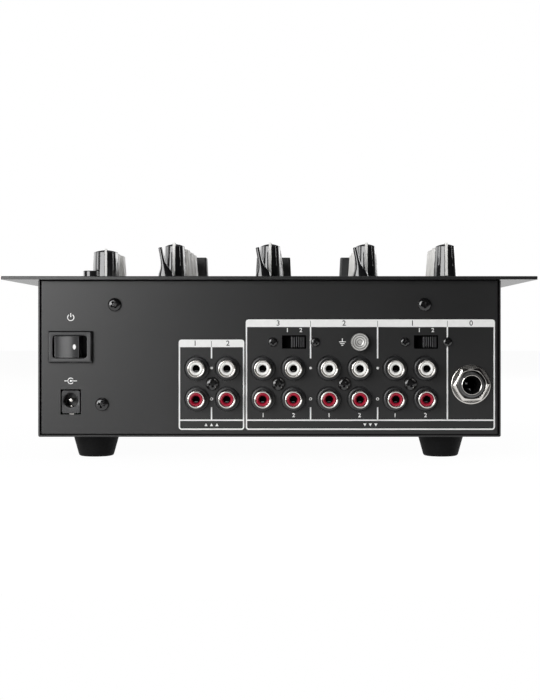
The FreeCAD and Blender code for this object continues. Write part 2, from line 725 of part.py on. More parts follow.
def lever_switch_body(x):
    """The switch below the plate that an input lever works."""
    x = x + LEVER_OFFSET
    y = row_y(LEVER_ROW)
    inner_d = LEVER_DEPTH + 2 * SLIDE_FIT
    top = BOARD_Z + LEVER_BODY_H
    swing = (top - LEVER_PIVOT_Z) * math.tan(math.radians(LEVER_TILT))
    inner_w = 2 * (LEVER_NECK / math.cos(math.radians(LEVER_TILT)) + swing + SWING_FIT)
    floor = LEVER_PIVOT_Z - LEVER_HUB_R - SLIDE_FIT
    body = centred(x, y, LEVER_BODY_W, inner_d + 2 * LEVER_WALL, BOARD_Z, top)
    well = centred(x, y, inner_w, inner_d, floor, top)
    reach = inner_d / 2 + LEVER_WALL
    return cut(body, [well, rod(LEVER_PIN_R + SHAFT_FIT, x, LEVER_PIVOT_Z, y - reach, y + reach)])


# Faders


def fader_slot_w():
    """Width of the slot that a fader's stem runs in."""
    return STEM_T + 2 * SLIDE_FIT


def fader_slot_spare():
    """How much longer a fader's slot is than its travel."""
    return STEM_L + 2 * SWING_FIT


def fader_cap():
    """A tapered cap with a dished top and the stem that carries it, for a fader along Y."""
    bottom = TOP_Z + CAP_LIFT
    top = TOP_Z + CAP_TOP

    def ring(width, depth, z):
        corners = [(-1, -1), (1, -1), (1, 1), (-1, 1), (-1, -1)]
        return Part.makePolygon([Vector(a * width / 2, b * depth / 2, z) for a, b in corners])

    cap = Part.makeLoft([ring(CAP_W, CAP_D, bottom), ring(CAP_TOP_W, CAP_TOP_D, top)], True, True)
    dish = Part.makeCylinder(CAP_DISH_R, CAP_W, Vector(-CAP_W / 2, 0, top + CAP_DISH_R - CAP_DISH), SIDEWAYS)
    pocket = centred(0, 0, STEM_T + 2 * PRESS_FIT, STEM_L + 2 * PRESS_FIT, bottom, bottom + STEM_IN_CAP)
    stem = centred(0, 0, STEM_T, STEM_L, PLATE_Z - STEM_DEPTH, bottom + STEM_IN_CAP)
    return [cut(cap, [dish, pocket]), stem]


def fader_housing(travel):
    """The channel below the plate that guides a fader's stem, for a fader along Y."""
    body = centred(0, 0, FADER_W, travel + 2 * FADER_END, BOARD_Z, PLATE_Z)
    slot = centred(0, 0, fader_slot_w(), travel + fader_slot_spare(),
                   PLATE_Z - STEM_DEPTH - SLIDE_FIT, PLATE_Z)
    reach = travel / 2 + FADER_END - FADER_SCREW_INSET
    depth = PLATE_Z + PLATE_T - FLUSH_SHANK_L
    holes = [post(FLUSH_SHANK_R + SHAFT_FIT, 0, side * reach, depth, PLATE_Z) for side in (-1, 1)]
    return cut(body, [slot] + holes)


def crosswise(shape):
    """A fader piece turned so that it runs along X."""
    return shape.rotated(ORIGIN, UP, 90)


# Push buttons and meter


def button_places():
    """Every push button as (node, x, y)."""
    places = [("mono_button", MASTER_X, row_y(MONO_ROW))]
    for channel, x in enumerate(CHANNEL_X, start=1):
        places.append((f"channel_{channel}_cue_button", x, row_y(CUE_ROW)))
    return places


def push_button(x, y):
    """A round button whose stem runs in its switch."""
    cap = post(BUTTON_R, 0, 0, TOP_Z - BUTTON_SUNK, TOP_Z + BUTTON_PROUD)
    cap = round_edges(cap, BUTTON_EDGE_R, lambda p: near(p.z, TOP_Z + BUTTON_PROUD))
    low = BOARD_Z + BUTTON_FLOOR + BUTTON_TRAVEL + SLIDE_FIT
    return fuse(cap, post(BUTTON_STEM_R, 0, 0, low, TOP_Z - BUTTON_SUNK)).translated(Vector(x, y, 0))


def button_switch_body(x, y):
    """The push switch below a button."""
    top = BOARD_Z + BUTTON_BODY_H
    body = centred(x, y, BUTTON_BODY_W, BUTTON_BODY_W, BOARD_Z, top)
    return body.cut(post(BUTTON_STEM_R + SHAFT_FIT, x, y, BOARD_Z + BUTTON_FLOOR, top))


def level_meter():
    """The bar-graph block that stands on the board and ends just below the plate's face."""
    y = row_y(METER_ROW + METER_L / 2)
    return centred(MASTER_X, y, METER_W, METER_L, BOARD_Z, TOP_Z - METER_SUNK)


# Boards inside


def control_board():
    """The large board that carries the controls."""
    half = CASE_HALF_W - SHEET - BOARD_SIDE_GAP
    return block(-half, half, FRONT_EDGE_Y + BOARD_FRONT, row_y(BOARD_REAR), BOARD_Z - BOARD_T, BOARD_Z)


def input_board_front():
    """Y of the face on which the jack blocks are soldered."""
    return PANEL_BACK_Y - BLOCK_DEPTH


def block_half():
    """Half the width of a jack block."""
    return JACK_PITCH / 2 + BLOCK_MARGIN


def input_board_top():
    """Z of the upper edge, below the control board."""
    return BOARD_Z - BOARD_T - INPUT_BOARD_GAP


def input_board():
    """The upright board behind the jack blocks."""
    x0 = BLOCK_X[-1] - block_half() - INPUT_BOARD_MARGIN
    x1 = BLOCK_X[0] + block_half() + INPUT_BOARD_MARGIN
    y1 = input_board_front()
    return block(x0, x1, y1 - BOARD_T, y1, CASE_Z + INPUT_BOARD_BOTTOM, input_board_top())


def power_board_front():
    """Y of the face on which the power inlet is soldered."""
    return PANEL_BACK_Y - INLET_DEPTH


def power_board():
    """The upright board behind the power inlet."""
    y1 = power_board_front()
    return block(POWER_X - POWER_BOARD_INNER, CASE_HALF_W - SHEET - POWER_BOARD_SIDE, y1 - BOARD_T, y1,
                 CASE_Z + SHEET + FOOT_SCREW_TIP + POWER_BOARD_CLEAR, CASE_Z + POWER_BOARD_TOP)


def board_standoffs():
    """Hexagonal posts between plate and control board, and one from the jack panel to the power board."""
    rows = (row_y(STANDOFF_ROW_INSET), row_y(FADER_ROW), FRONT_EDGE_Y + BOARD_FRONT + STANDOFF_ROW_INSET)
    upright = hexagon(STANDOFF_AF, BOARD_DROP)
    posts = [upright.translated(Vector(side * STANDOFF_X, y, BOARD_Z)) for side in (-1, 1) for y in rows]
    lying = hexagon(STANDOFF_AF, INLET_DEPTH)
    lying = lying.cut(post(PAN_SHANK_R + SHAFT_FIT, 0, 0, INLET_DEPTH - PAN_SHANK_L, INLET_DEPTH))
    posts.append(to_rear(lying, POWER_X - POWER_SCREW_OFFSET, power_board_front(), CASE_Z + POWER_SCREW_LEVEL))
    return posts


def ribbon_cable():
    """The flat cable and the power lead that join the upright boards to the control board."""
    top = BOARD_Z - BOARD_T
    y1 = input_board_front() - BOARD_T
    x = (BLOCK_X[0] + BLOCK_X[-1]) / 2
    ribbon = block(x - RIBBON_W / 2, x + RIBBON_W / 2, y1 - RIBBON_T, y1, input_board_top() - RIBBON_LAP, top)
    y1 = power_board_front() - BOARD_T
    x0 = POWER_X - POWER_BOARD_INNER
    lead = block(x0, x0 + LEAD_W, y1 - RIBBON_T, y1, CASE_Z + POWER_BOARD_TOP - RIBBON_LAP, top)
    return [ribbon, lead]


# Jack panel


def jack_housing(x):
    """The plastic block that carries four sockets, with a collar through the panel round each."""
    half = block_half()
    body = block(x - half, x + half, PANEL_BACK_Y - BLOCK_DEPTH, PANEL_BACK_Y, JACK_Z - half, JACK_Z + half)
    places = [(a, b) for a, b, upper in jack_places() if abs(a - x) < half]
    face = PANEL_Y + COLLAR_PROUD
    body = fuse(body, *[rod(COLLAR_R, a, b, PANEL_BACK_Y, face) for a, b in places])
    cutters = [rod(JACK_CONTACT_R, a, b, face - JACK_CONTACT_DEPTH, face) for a, b in places]
    cutters.append(rod(PAN_SHANK_R + SHAFT_FIT, x, JACK_Z, PANEL_Y - PAN_SHANK_L, PANEL_BACK_Y))
    return cut(body, cutters)


def jack_shell(x, z):
    """The plated tube of one phono socket."""
    tube = Part.makeCylinder(SHELL_R, SHELL_LENGTH)
    tube = round_edges(tube, SHELL_LIP_R, lambda p: near(p.z, SHELL_LENGTH))
    tube = tube.cut(post(SHELL_R - SHELL_WALL, 0, 0, 0, SHELL_LENGTH))
    return to_rear(tube, x, PANEL_Y + COLLAR_PROUD, z)


def jack_insulator(x, z):
    """The coloured ring inside one phono socket."""
    length = SHELL_LENGTH - INSULATOR_SUNK
    ring = Part.makeCylinder(SHELL_R - SHELL_WALL - PRESS_FIT, length)
    ring = ring.cut(post(JACK_BORE_R, 0, 0, 0, length))
    return to_rear(ring, x, PANEL_Y + COLLAR_PROUD, z)


def selector_frame(x):
    """The fixed part of a selector: ears against the panel and a body back to the input board."""
    body = window(x, SELECTOR_Z, SELECTOR_BODY_W, SELECTOR_BODY_H, input_board_front(), PANEL_BACK_Y)
    ears = window(x, SELECTOR_Z, 2 * SELECTOR_EAR_X, SELECTOR_BODY_H, PANEL_BACK_Y - SELECTOR_EAR_T, PANEL_BACK_Y)
    cutters = [window(x, SELECTOR_Z, SELECTOR_W, SELECTOR_H, PANEL_BACK_Y - SELECTOR_WELL, PANEL_BACK_Y)]
    for side in (-1, 1):
        cutters.append(rod(SMALL_SHANK_R + SHAFT_FIT, x + side * SELECTOR_SCREW_X, SELECTOR_Z,
                           PANEL_BACK_Y - SELECTOR_WELL, PANEL_BACK_Y))
    return cut(fuse(body, ears), cutters)


def selector_slider(x):
    """The ribbed slider of a selector, at the end of its travel away from the power switch."""
    x = x - SLIDER_TRAVEL / 2
    face = PANEL_Y - SLIDER_SUNK
    low = PANEL_BACK_Y - SELECTOR_WELL + SLIDE_FIT
    slider = window(x, SELECTOR_Z, SLIDER_W, SLIDER_H, low, face)
    grooves = []
    for k in range(SLIDER_RIBS + 1):
        u = x + (k - SLIDER_RIBS / 2) * SLIDER_RIB_PITCH
        grooves.append(window(u, SELECTOR_Z, SLIDER_GROOVE_W, SELECTOR_H, face - SLIDER_GROOVE, face))
    return cut(slider, grooves)


def ground_bush():
    """The threaded bush behind the ground screw."""
    tip = PANEL_Y + GROUND_BUSH_PROUD
    flange = rod(GROUND_FLANGE_R, GROUND_X, SELECTOR_Z, PANEL_BACK_Y - GROUND_FLANGE_T, PANEL_BACK_Y)
    bush = fuse(flange, rod(GROUND_BUSH_R, GROUND_X, SELECTOR_Z, PANEL_BACK_Y, tip))
    return bush.cut(rod(GROUND_STEM_R + SHAFT_FIT, GROUND_X, SELECTOR_Z, PANEL_BACK_Y - GROUND_FLANGE_T, tip))


def ground_screw():
    """The thumb screw for a ground wire."""
    head = Part.makeCylinder(GROUND_HEAD_R, GROUND_HEAD_L)
    head = head.makeChamfer(GROUND_HEAD_EDGE, [e for e in head.Edges if len(e.Vertexes) == 1])
    screw = fuse(head, post(GROUND_STEM_R, 0, 0, -GROUND_STEM_L + GROUND_BUSH_PROUD, 0))
    return to_rear(screw, GROUND_X, PANEL_Y + GROUND_BUSH_PROUD, SELECTOR_Z)


# Microphone and headphone jacks, each made to stand on its panel's outer face at the origin


def phone_jack():
    """A socket with a bush through the panel and a closed body behind it."""
    body = centred(0, 0, PHONE_BODY_W, PHONE_BODY_W, -SHEET - PHONE_BODY_L, -SHEET)
    jack = fuse(body, post(PHONE_BUSH_R, 0, 0, -SHEET, PHONE_BUSH_PROUD))
    flare = PHONE_MOUTH_R - PHONE_BORE_R
    mouth = Part.makeCone(PHONE_BORE_R, PHONE_MOUTH_R, flare, Vector(0, 0, PHONE_BUSH_PROUD - flare))
    return cut(jack, [mouth, post(PHONE_BORE_R, 0, 0, PHONE_BUSH_PROUD - PHONE_BORE_DEPTH, PHONE_BUSH_PROUD)])


def phone_jack_washer():
    """The flat washer on the panel."""
    return Part.makeCylinder(PHONE_WASHER_R, PHONE_WASHER_T).cut(
        post(PHONE_BUSH_R + SHAFT_FIT, 0, 0, 0, PHONE_WASHER_T))


def phone_jack_nut():
    """The hexagonal nut on the washer, its outer corners turned off."""
    nut = hexagon(PHONE_NUT_AF, PHONE_NUT_T)
    corner = PHONE_NUT_AF / math.sqrt(3)
    rise = corner - PHONE_NUT_AF / 2
    bevel = Part.makeCone(corner + PHONE_NUT_T - rise, PHONE_NUT_AF / 2, PHONE_NUT_T)
    nut = nut.common(bevel).cut(post(PHONE_BUSH_R + SHAFT_FIT, 0, 0, 0, PHONE_NUT_T))
    return nut.translated(Vector(0, 0, PHONE_WASHER_T))


def both_phone_jacks(shape):
    """A jack piece at the microphone socket and at the headphone socket."""
    return [
        to_rear(shape, MIC_JACK_X, PANEL_Y, MIC_JACK_Z),
        to_front(shape, CASE_HALF_W - PHONES_SIDE_INSET, FRONT_PANEL_Y, CASE_Z + PHONES_LEVEL),
    ]


# Power switch and inlet


def power_switch_frame():
    """The bezel and well of the power switch."""
    z = CASE_Z + POWER_LEVEL
    face = PANEL_Y + BEZEL_PROUD
    bezel = window(POWER_X, z, BEZEL_W, BEZEL_H, PANEL_Y, face)
    bezel = round_edges(bezel, BEZEL_EDGE_R, lambda p: near(p.y, face))
    body = window(POWER_X, z, SWITCH_BODY_W, SWITCH_BODY_H, face - BEZEL_PROUD - SWITCH_BODY_L, PANEL_Y)
    well = window(POWER_X, z, SWITCH_WELL_W, SWITCH_WELL_H, face - SWITCH_WELL_DEPTH, face)
    pivot = post(ROCKER_PIN_R + SHAFT_FIT, POWER_X, face - ROCKER_PIVOT_DEPTH,
                 z - SWITCH_WELL_H / 2 - ROCKER_PIN_L, z + SWITCH_WELL_H / 2 + ROCKER_PIN_L)
    return cut(fuse(bezel, body), [well, pivot])


def power_rocker():
    """The rocker with a dished face and pivot pins, its end nearer the jacks standing out."""
    z = CASE_Z + POWER_LEVEL
    half_h = SWITCH_WELL_H / 2 - SLIDE_FIT
    top = [Vector(-ROCKER_HALF, ROCKER_RISE, 0), Vector(0, ROCKER_RISE - ROCKER_DISH, 0),
           Vector(ROCKER_HALF, ROCKER_RISE, 0)]
    feet = [Vector(ROCKER_FOOT_HALF, -ROCKER_FOOT_DROP, 0), Vector(-ROCKER_FOOT_HALF, -ROCKER_FOOT_DROP, 0)]
    edges = [Part.Arc(*top).toShape(), Part.makeLine(top[2], feet[0]), Part.makeLine(feet[0], feet[1]),
             Part.makeLine(feet[1], top[0])]
    body = Part.Face(Part.Wire(edges)).extrude(Vector(0, 0, 2 * half_h)).translated(Vector(0, 0, -half_h))
    reach = SWITCH_WELL_H / 2 + ROCKER_PIN_L - SHAFT_FIT
    rocker = fuse(body, post(ROCKER_PIN_R, 0, 0, -reach, reach)).rotated(ORIGIN, UP, -ROCKER_TILT)
    return rocker.translated(Vector(POWER_X, PANEL_Y + BEZEL_PROUD - ROCKER_PIVOT_DEPTH, z))


def power_inlet():
    """The inlet's housing, flush with the panel, and its centre pin."""
    z = CASE_Z + INLET_LEVEL
    bore_z = z + INLET_BORE_RAISED
    floor = PANEL_Y - INLET_BORE_DEPTH
    housing = window(POWER_X, z, INLET_W, INLET_H, power_board_front(), PANEL_Y)
    housing = housing.cut(rod(INLET_BORE_R, POWER_X, bore_z, floor, PANEL_Y))
    return [housing, rod(INLET_PIN_R, POWER_X, bore_z, floor, PANEL_Y - INLET_PIN_SUNK)]


def build():
    """Write every node."""
    os.makedirs("parts", exist_ok=True)
    save("chassis_tray", [chassis_tray()])
    save("rear_panel", [rear_panel()])
    save("front_panel", [front_panel()])
    save("top_plate", [top_plate()])
    save("rubber_feet", [rubber_foot(x, y) for x, y in foot_places()])
    flush = flush_screw()
    screws = [flush.translated(Vector(x, y, TOP_Z)) for x, y in plate_screw_places() + fader_screw_places()]
    save("case_screws", screws + [foot_screw(x, y) for x, y in foot_places()])
    save("rear_panel_screws", [to_rear(pan_screw(), x, PANEL_Y, z) for x, z in panel_screw_places()])
    save("selector_screws", [to_rear(small_screw(), x, PANEL_Y, z) for x, z in selector_screw_places()])

    save("control_board", [control_board()])
    save("input_board", [input_board()])
    save("power_board", [power_board()])
    save("board_standoffs", board_standoffs())
    save("ribbon_cable", ribbon_cable())

    plain_knob = knob(KNOB_BASE_R, KNOB_TIP_R)
    master_knob = knob(MASTER_BASE_R, MASTER_TIP_R)
    for name, x, y, large in knob_places():
        save(name, knob_with_shaft(master_knob if large else plain_knob, x, y))
    save("potentiometer_bodies", [potentiometer_body(x, y) for name, x, y, large in knob_places()])

    for channel, x in enumerate(CHANNEL_X, start=1):
        save(f"channel_{channel}_input_lever", [lever(x)])
    bodies = [lever_switch_body(x) for x in CHANNEL_X]
    save("switch_bodies", bodies + [button_switch_body(x, y) for name, x, y in button_places()])
    for name, x, y in button_places():
        save(name, [push_button(x, y)])
    save("level_meter", [level_meter()])

    housings = []
    for channel, x in enumerate(CHANNEL_X, start=1):
        cap_at = Vector(x, row_y(FADER_ROW), 0)
        save(f"channel_{channel}_fader", [s.translated(cap_at) for s in fader_cap()])
        housing_at = Vector(x, row_y(FADER_ROW + FADER_TRAVEL / 2), 0)
        housings.append(fader_housing(FADER_TRAVEL).translated(housing_at))
    cross_at = Vector(0, row_y(CROSSFADER_ROW), 0)
    save("crossfader", [crosswise(s).translated(cross_at) for s in fader_cap()])
    housings.append(crosswise(fader_housing(CROSSFADER_TRAVEL)).translated(cross_at))
    save("fader_housings", housings)

    save("rca_jack_housings", [jack_housing(x) for x in BLOCK_X])
    save("rca_shells", [jack_shell(x, z) for x, z, upper in jack_places()])
    save("rca_white_insulators", [jack_insulator(x, z) for x, z, upper in jack_places() if upper])
    save("rca_red_insulators", [jack_insulator(x, z) for x, z, upper in jack_places() if not upper])
    save("selector_frames", [selector_frame(x) for x in SELECTOR_X])
    for channel, x in zip((3, 1), SELECTOR_X):
        save(f"channel_{channel}_selector", [selector_slider(x)])
    save("ground_bush", [ground_bush()])
    save("ground_screw", [ground_screw()])
    save("phone_jacks", both_phone_jacks(phone_jack()))
    save("phone_jack_nuts", both_phone_jacks(phone_jack_washer()) + both_phone_jacks(phone_jack_nut()))
    save("power_switch_frame", [power_switch_frame()])
    save("power_rocker", [power_rocker()])
    save("power_inlet", power_inlet())


build()
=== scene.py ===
"""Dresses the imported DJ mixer: detailed controls and sockets, panel print, finishes and a studio stage.

Lengths in the shape functions are millimetres and become metres when a piece is made. The frame is the
CAD model's: +Z up, the jack panel faces +Y, and +X is the player's right.
"""

import json
import math

import bpy
import numpy as np
from bpy.props import FloatProperty, FloatVectorProperty, IntProperty, PointerProperty
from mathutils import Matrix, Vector


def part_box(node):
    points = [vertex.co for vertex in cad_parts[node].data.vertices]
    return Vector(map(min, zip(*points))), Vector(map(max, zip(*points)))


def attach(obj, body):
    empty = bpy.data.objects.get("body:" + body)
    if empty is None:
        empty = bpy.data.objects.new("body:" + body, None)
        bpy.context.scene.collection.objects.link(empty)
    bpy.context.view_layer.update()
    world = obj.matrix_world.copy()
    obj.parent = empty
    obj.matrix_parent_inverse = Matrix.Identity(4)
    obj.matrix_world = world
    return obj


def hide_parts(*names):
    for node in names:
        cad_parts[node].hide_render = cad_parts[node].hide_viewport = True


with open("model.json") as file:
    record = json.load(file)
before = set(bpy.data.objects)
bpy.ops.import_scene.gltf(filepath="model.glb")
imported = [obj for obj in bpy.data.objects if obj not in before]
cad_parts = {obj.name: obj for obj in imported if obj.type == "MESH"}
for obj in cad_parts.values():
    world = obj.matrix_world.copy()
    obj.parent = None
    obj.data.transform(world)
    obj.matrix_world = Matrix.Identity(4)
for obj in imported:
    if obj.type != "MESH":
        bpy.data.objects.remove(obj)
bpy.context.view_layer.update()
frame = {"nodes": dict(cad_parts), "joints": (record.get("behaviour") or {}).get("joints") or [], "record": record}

bl_info = {
    "name": "Mixer dressing",
    "version": (1, 0, 0),
    "blender": (4, 5, 0),
    "location": "View3D > Sidebar > Mixer",
    "description": "Dresses a packed DJ mixer with detailed controls, sockets, print and finishes",
    "category": "Object",
}

MM = 0.001
CHASSIS = "chassis"
SELECTORS = ("channel_1_selector", "channel_3_selector")
JOINTS = {joint["child"]: joint for joint in frame["joints"]}
MOUNTS = {mount["name"]: mount for mount in frame["record"]["mounts"]}
QUARTER = np.linspace(0, np.pi / 2, 6)
BEND = QUARTER[1:]
BOTH_SIDES = (-1, 1)


def box(node):
    """Lowest and highest corner of a CAD node, in millimetres."""
    low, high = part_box(node)
    return np.array(low) / MM, np.array(high) / MM


def extent(node):
    """Middle and half size of a CAD node's box, in millimetres."""
    low, high = box(node)
    return (low + high) / 2, (high - low) / 2


def place_of(row):
    """Place of a joint or mount, in millimetres."""
    return np.array(row["pos_m"]) / MM


def moving(ending):
    """Names of the moving CAD nodes that end in a word."""
    return [name for name in JOINTS if name.endswith(ending)]


PLATE_TOP = box("top_plate")[1][2]
PANEL_Y = box("rear_panel")[1][1]
FRONT_Y = box("front_panel")[0][1]


# Surfaces: a shell is a pair of a point array and a quad array


def surface(points, close_rows=False, close_cols=False):
    """Shell of a grid of points. Its faces look along column direction cross row direction."""
    rows, cols = points.shape[:2]
    i = np.arange(rows if close_rows else rows - 1)
    j = np.arange(cols if close_cols else cols - 1)
    a, b = np.meshgrid(i, j, indexing="ij")
    c = (a + 1) % rows
    d = (b + 1) % cols
    quads = np.stack([a * cols + b, a * cols + d, c * cols + d, c * cols + b], axis=-1)
    return points.reshape(-1, 3), quads.reshape(-1, 4)


def outward(shell):
    """A closed shell with its faces turned outward, told by the sign of its enclosed volume."""
    points, quads = shell
    a, b, c, d = (points[quads[:, k]] for k in range(4))
    volume = np.einsum("ij,ij->i", a, np.cross(b, c)) + np.einsum("ij,ij->i", a, np.cross(c, d))
    return (points, quads) if volume.sum() > 0 else (points, quads[:, ::-1])


def turns(steps):
    """Equal turns round a circle, in radians."""
    return np.arange(steps) * 2 * np.pi / steps


def rays(steps):
    """Points at equal turns of the unit circle, counter-clockwise."""
    return np.column_stack([np.cos(turns(steps)), np.sin(turns(steps))])


def polar_grid(radius, height, turn):
    """Points at radii and heights, each by row or by row and turn, carried round the Z axis."""
    radius, height, turn = np.broadcast_arrays(radius, height, turn)
    return np.stack([radius * np.cos(turn), radius * np.sin(turn), height], axis=-1)


def round_shell(radius, height, turn):
    """Closed shell of a polar grid."""
    return outward(surface(polar_grid(radius, height, turn), close_cols=True))


def arc_profile(radius, height, bend, turn):
    """Profile points along an arc of a given bend about a (radius, height)."""
    return np.column_stack([radius + bend * np.cos(turn), height + bend * np.sin(turn)]).tolist()


def lathe(profile, steps=64):
    """Surface of turn about Z: every (radius, height) of a profile carried round a circle."""
    radius, height = np.array(profile, float).T[:, :, None]
    return round_shell(radius, height, turns(steps))


def rounded_loop(half_w, half_h, radius, per_corner=8):
    """Rounded rectangle as points, counter-clockwise: quarter circles about the four inset corners."""
    quarter = np.linspace(0, np.pi / 2, per_corner)
    centre = np.array([[1, 1], [-1, 1], [-1, -1], [1, -1]]) * [half_w - radius, half_h - radius]
    angle = quarter[None, :] + np.arange(4)[:, None] * np.pi / 2
    arc = np.stack([np.cos(angle), np.sin(angle)], axis=-1) * radius
    return (centre[:, None, :] + arc).reshape(-1, 2)


def superellipse(half_w, half_d, power, steps):
    """Rounded rectangle where |x/a|^n + |y/b|^n = 1, counter-clockwise."""
    ray = rays(steps)
    return np.sign(ray) * np.abs(ray) ** (2 / power) * [half_w, half_d]


def polar_square(half_w, half_h, power, steps=72):
    """Rounded rectangle at equal turns, of reach (|cos/a|^n + |sin/b|^n)^(-1/n), a circle where n is 2."""
    ray = rays(steps)
    reach = (np.abs(ray / [half_w, half_h]) ** power).sum(axis=1) ** (-1 / power)
    return ray * reach[:, None]


def shrink(loop):
    """A loop drawn together at its middle, which closes a shell."""
    return np.tile(loop.mean(axis=0), (len(loop), 1))


def level(loop, height):
    """A plane loop put at a height along Z."""
    return np.column_stack([loop, np.full(len(loop), height)])


def stacked(loops, heights):
    """Closed shell through plane loops of equal length, each at its own height along Z."""
    rows = [level(loop, height) for loop, height in zip(loops, heights)]
    return outward(surface(np.array(rows), close_cols=True))


def capped(loops, heights, peak=0.0):
    """Stacked loops whose ends are drawn together at their middles, the last one raised to a peak."""
    loops = [shrink(loops[0]), *loops, shrink(loops[-1])]
    return stacked(loops, [heights[0], *heights, heights[-1] + peak])


def moved(shell, offset):
    """A shell shifted by an offset."""
    return shell[0] + np.asarray(offset, float), shell[1]


def facing_rear(shell):
    """A shell that stands along Z, turned to stand along +Y."""
    x, y, z = shell[0].T
    return np.column_stack([x, z, -y]), shell[1]


def facing_front(shell):
    """A shell that stands along Z, turned to stand along -Y."""
    x, y, z = shell[0].T
    return np.column_stack([x, -z, y]), shell[1]


def on_panel(shell, x, z):
    """A shell that stands along Z, put on the jack panel at a place."""
    return moved(facing_rear(shell), (x, PANEL_Y, z))


def tilted(shell, degrees):
    """A shell leant from +Z towards +X about the Y axis."""
    a = math.radians(degrees)
    x, y, z = shell[0].T
    points = np.column_stack([x * math.cos(a) + z * math.sin(a), y, z * math.cos(a) - x * math.sin(a)])
    return points, shell[1]


def spun(shell, degrees):
    """A shell turned about the Z axis."""
    a = math.radians(degrees)
    x, y, z = shell[0].T
    points = np.column_stack([x * math.cos(a) - y * math.sin(a), x * math.sin(a) + y * math.cos(a), z])
    return points, shell[1]


def joined(shells):
    """Several shells as one."""
    starts = np.cumsum([0] + [len(points) for points, quads in shells[:-1]])
    quads = np.concatenate([shell[1] + start for shell, start in zip(shells, starts)])
    return np.concatenate([shell[0] for shell in shells]), quads


def repeated(shell, places):
    """A shell copied to each place."""
    return joined([moved(shell, place) for place in places])


def welded(shell):
    """Merge points that coincide, and give the triangles that are left of quads with a lost side."""
    points, quads = shell
    keys = np.round(points, 4)
    first, index = np.unique(keys, axis=0, return_index=True, return_inverse=True)[1:]
    quads = index.ravel()[quads]
    lost = quads == np.roll(quads, -1, axis=1)
    count = lost.sum(axis=1)
    at = lost[count == 1].argmax(axis=1)
    triangles = np.take_along_axis(quads[count == 1], (at[:, None] + np.arange(1, 4)) % 4, axis=1)
    return points[first], quads[count == 0], triangles


def add_piece(name, parts, body, replaces=(), sharp=35.0):
    """Make one piece out of (shell, finish) parts, and tie it to a CAD body."""
    all_points = []
    faces = []
    material_index = []
    start = 0
    mesh = bpy.data.meshes.new(name)
    for k, (shell, key) in enumerate(parts):
        points, whole, triangles = welded(shell)
        all_points.append(points)
        faces += (whole + start).tolist() + (triangles + start).tolist()
        material_index += [k] * (len(whole) + len(triangles))
        start += len(points)
        mesh.materials.append(FINISHES[key])
    mesh.from_pydata((np.concatenate(all_points) * MM).tolist(), [], faces)
    mesh.polygons.foreach_set("material_index", np.array(material_index, np.int32))
    mesh.polygons.foreach_set("use_smooth", np.ones(len(faces), bool))
    mesh.update()
    mesh.set_sharp_from_angle(angle=math.radians(sharp))
    piece = bpy.data.objects.new(name, mesh)
    bpy.context.scene.collection.objects.link(piece)
    piece.modifiers.new("face_weight", "WEIGHTED_NORMAL").keep_sharp = True
    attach(piece, body)
    if replaces:
        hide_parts(*replaces)


# Finishes

FINISHES = {}
NOISE_LOW = 0.3
NOISE_HIGH = 0.7


def give(tree, socket, value):
    """Link another node's output to an input, or set a constant on it."""
    if isinstance(value, bpy.types.NodeSocket):
        tree.links.new(value, socket)
    else:
        socket.default_value = value


def feed(tree, made, **values):
    """Give a node its inputs by name."""
    for key, value in values.items():
        give(tree, made.inputs[key.replace("_", " ")], value)
    return made


def node(tree, kind, **values):
    """A new shader node with its inputs given by name."""
    return feed(tree, tree.nodes.new(kind), **values)


def reckoned(tree, operation, *values):
    """Output of a Math node on two values."""
    made = tree.nodes.new("ShaderNodeMath")
    made.operation = operation
    for socket, value in zip(made.inputs, values):
        give(tree, socket, value)
    return made.outputs[0]


def own_place(tree):
    """The place on the piece's own coordinates."""
    return tree.nodes["Texture Coordinate"].outputs["Object"]


def shader_of(tree):
    """The main shader of a finish."""
    return tree.nodes["Principled BSDF"]


def scaled(colour, share):
    """A colour made darker or lighter."""
    return [min(1.0, c * share) for c in colour]


def grain(tree, scale):
    """Noise of a given count per metre."""
    return node(tree, "ShaderNodeTexNoise", Vector=own_place(tree), Scale=scale, Detail=4.0).outputs["Fac"]


def spread(tree, value, low, high):
    """The middle of a noise stretched between two numbers."""
    made = node(tree, "ShaderNodeMapRange", Value=value, From_Min=NOISE_LOW, From_Max=NOISE_HIGH,
                To_Min=low, To_Max=high)
    return made.outputs["Result"]


def tones(tree, value, dark, light):
    """The middle of a noise as a blend of two colours."""
    ramp = node(tree, "ShaderNodeValToRGB", Fac=value)
    for element, position, colour in zip(ramp.color_ramp.elements, (NOISE_LOW, NOISE_HIGH), (dark, light)):
        element.position = position
        element.color = (*colour, 1)
    return ramp.outputs["Color"]


def relief(tree, height, strength, depth):
    """A bump of a given depth in metres."""
    return node(tree, "ShaderNodeBump", Height=height, Strength=strength, Distance=depth).outputs["Normal"]


def finish(name, colour, vary=0.12, blotch=60.0, rough=(0.4, 0.5), grain_scale=2500.0, bump=0.1,
           depth=0.00004, metallic=0.0, coat=0.0, specular=0.5):
    """A finish whose tone drifts in soft blotches, with a fine grain in its gloss and relief."""
    material = bpy.data.materials.new(name)
    material.use_nodes = True
    tree = material.node_tree
    tree.nodes.new("ShaderNodeTexCoord")
    fine = grain(tree, grain_scale)
    drift = tones(tree, grain(tree, blotch), scaled(colour, 1 - vary), scaled(colour, 1 + vary))
    feed(tree, shader_of(tree), Base_Color=drift, Roughness=spread(tree, fine, *rough),
         Normal=relief(tree, fine, bump, depth), Metallic=metallic, Coat_Weight=coat,
         Specular_IOR_Level=specular)
    return material


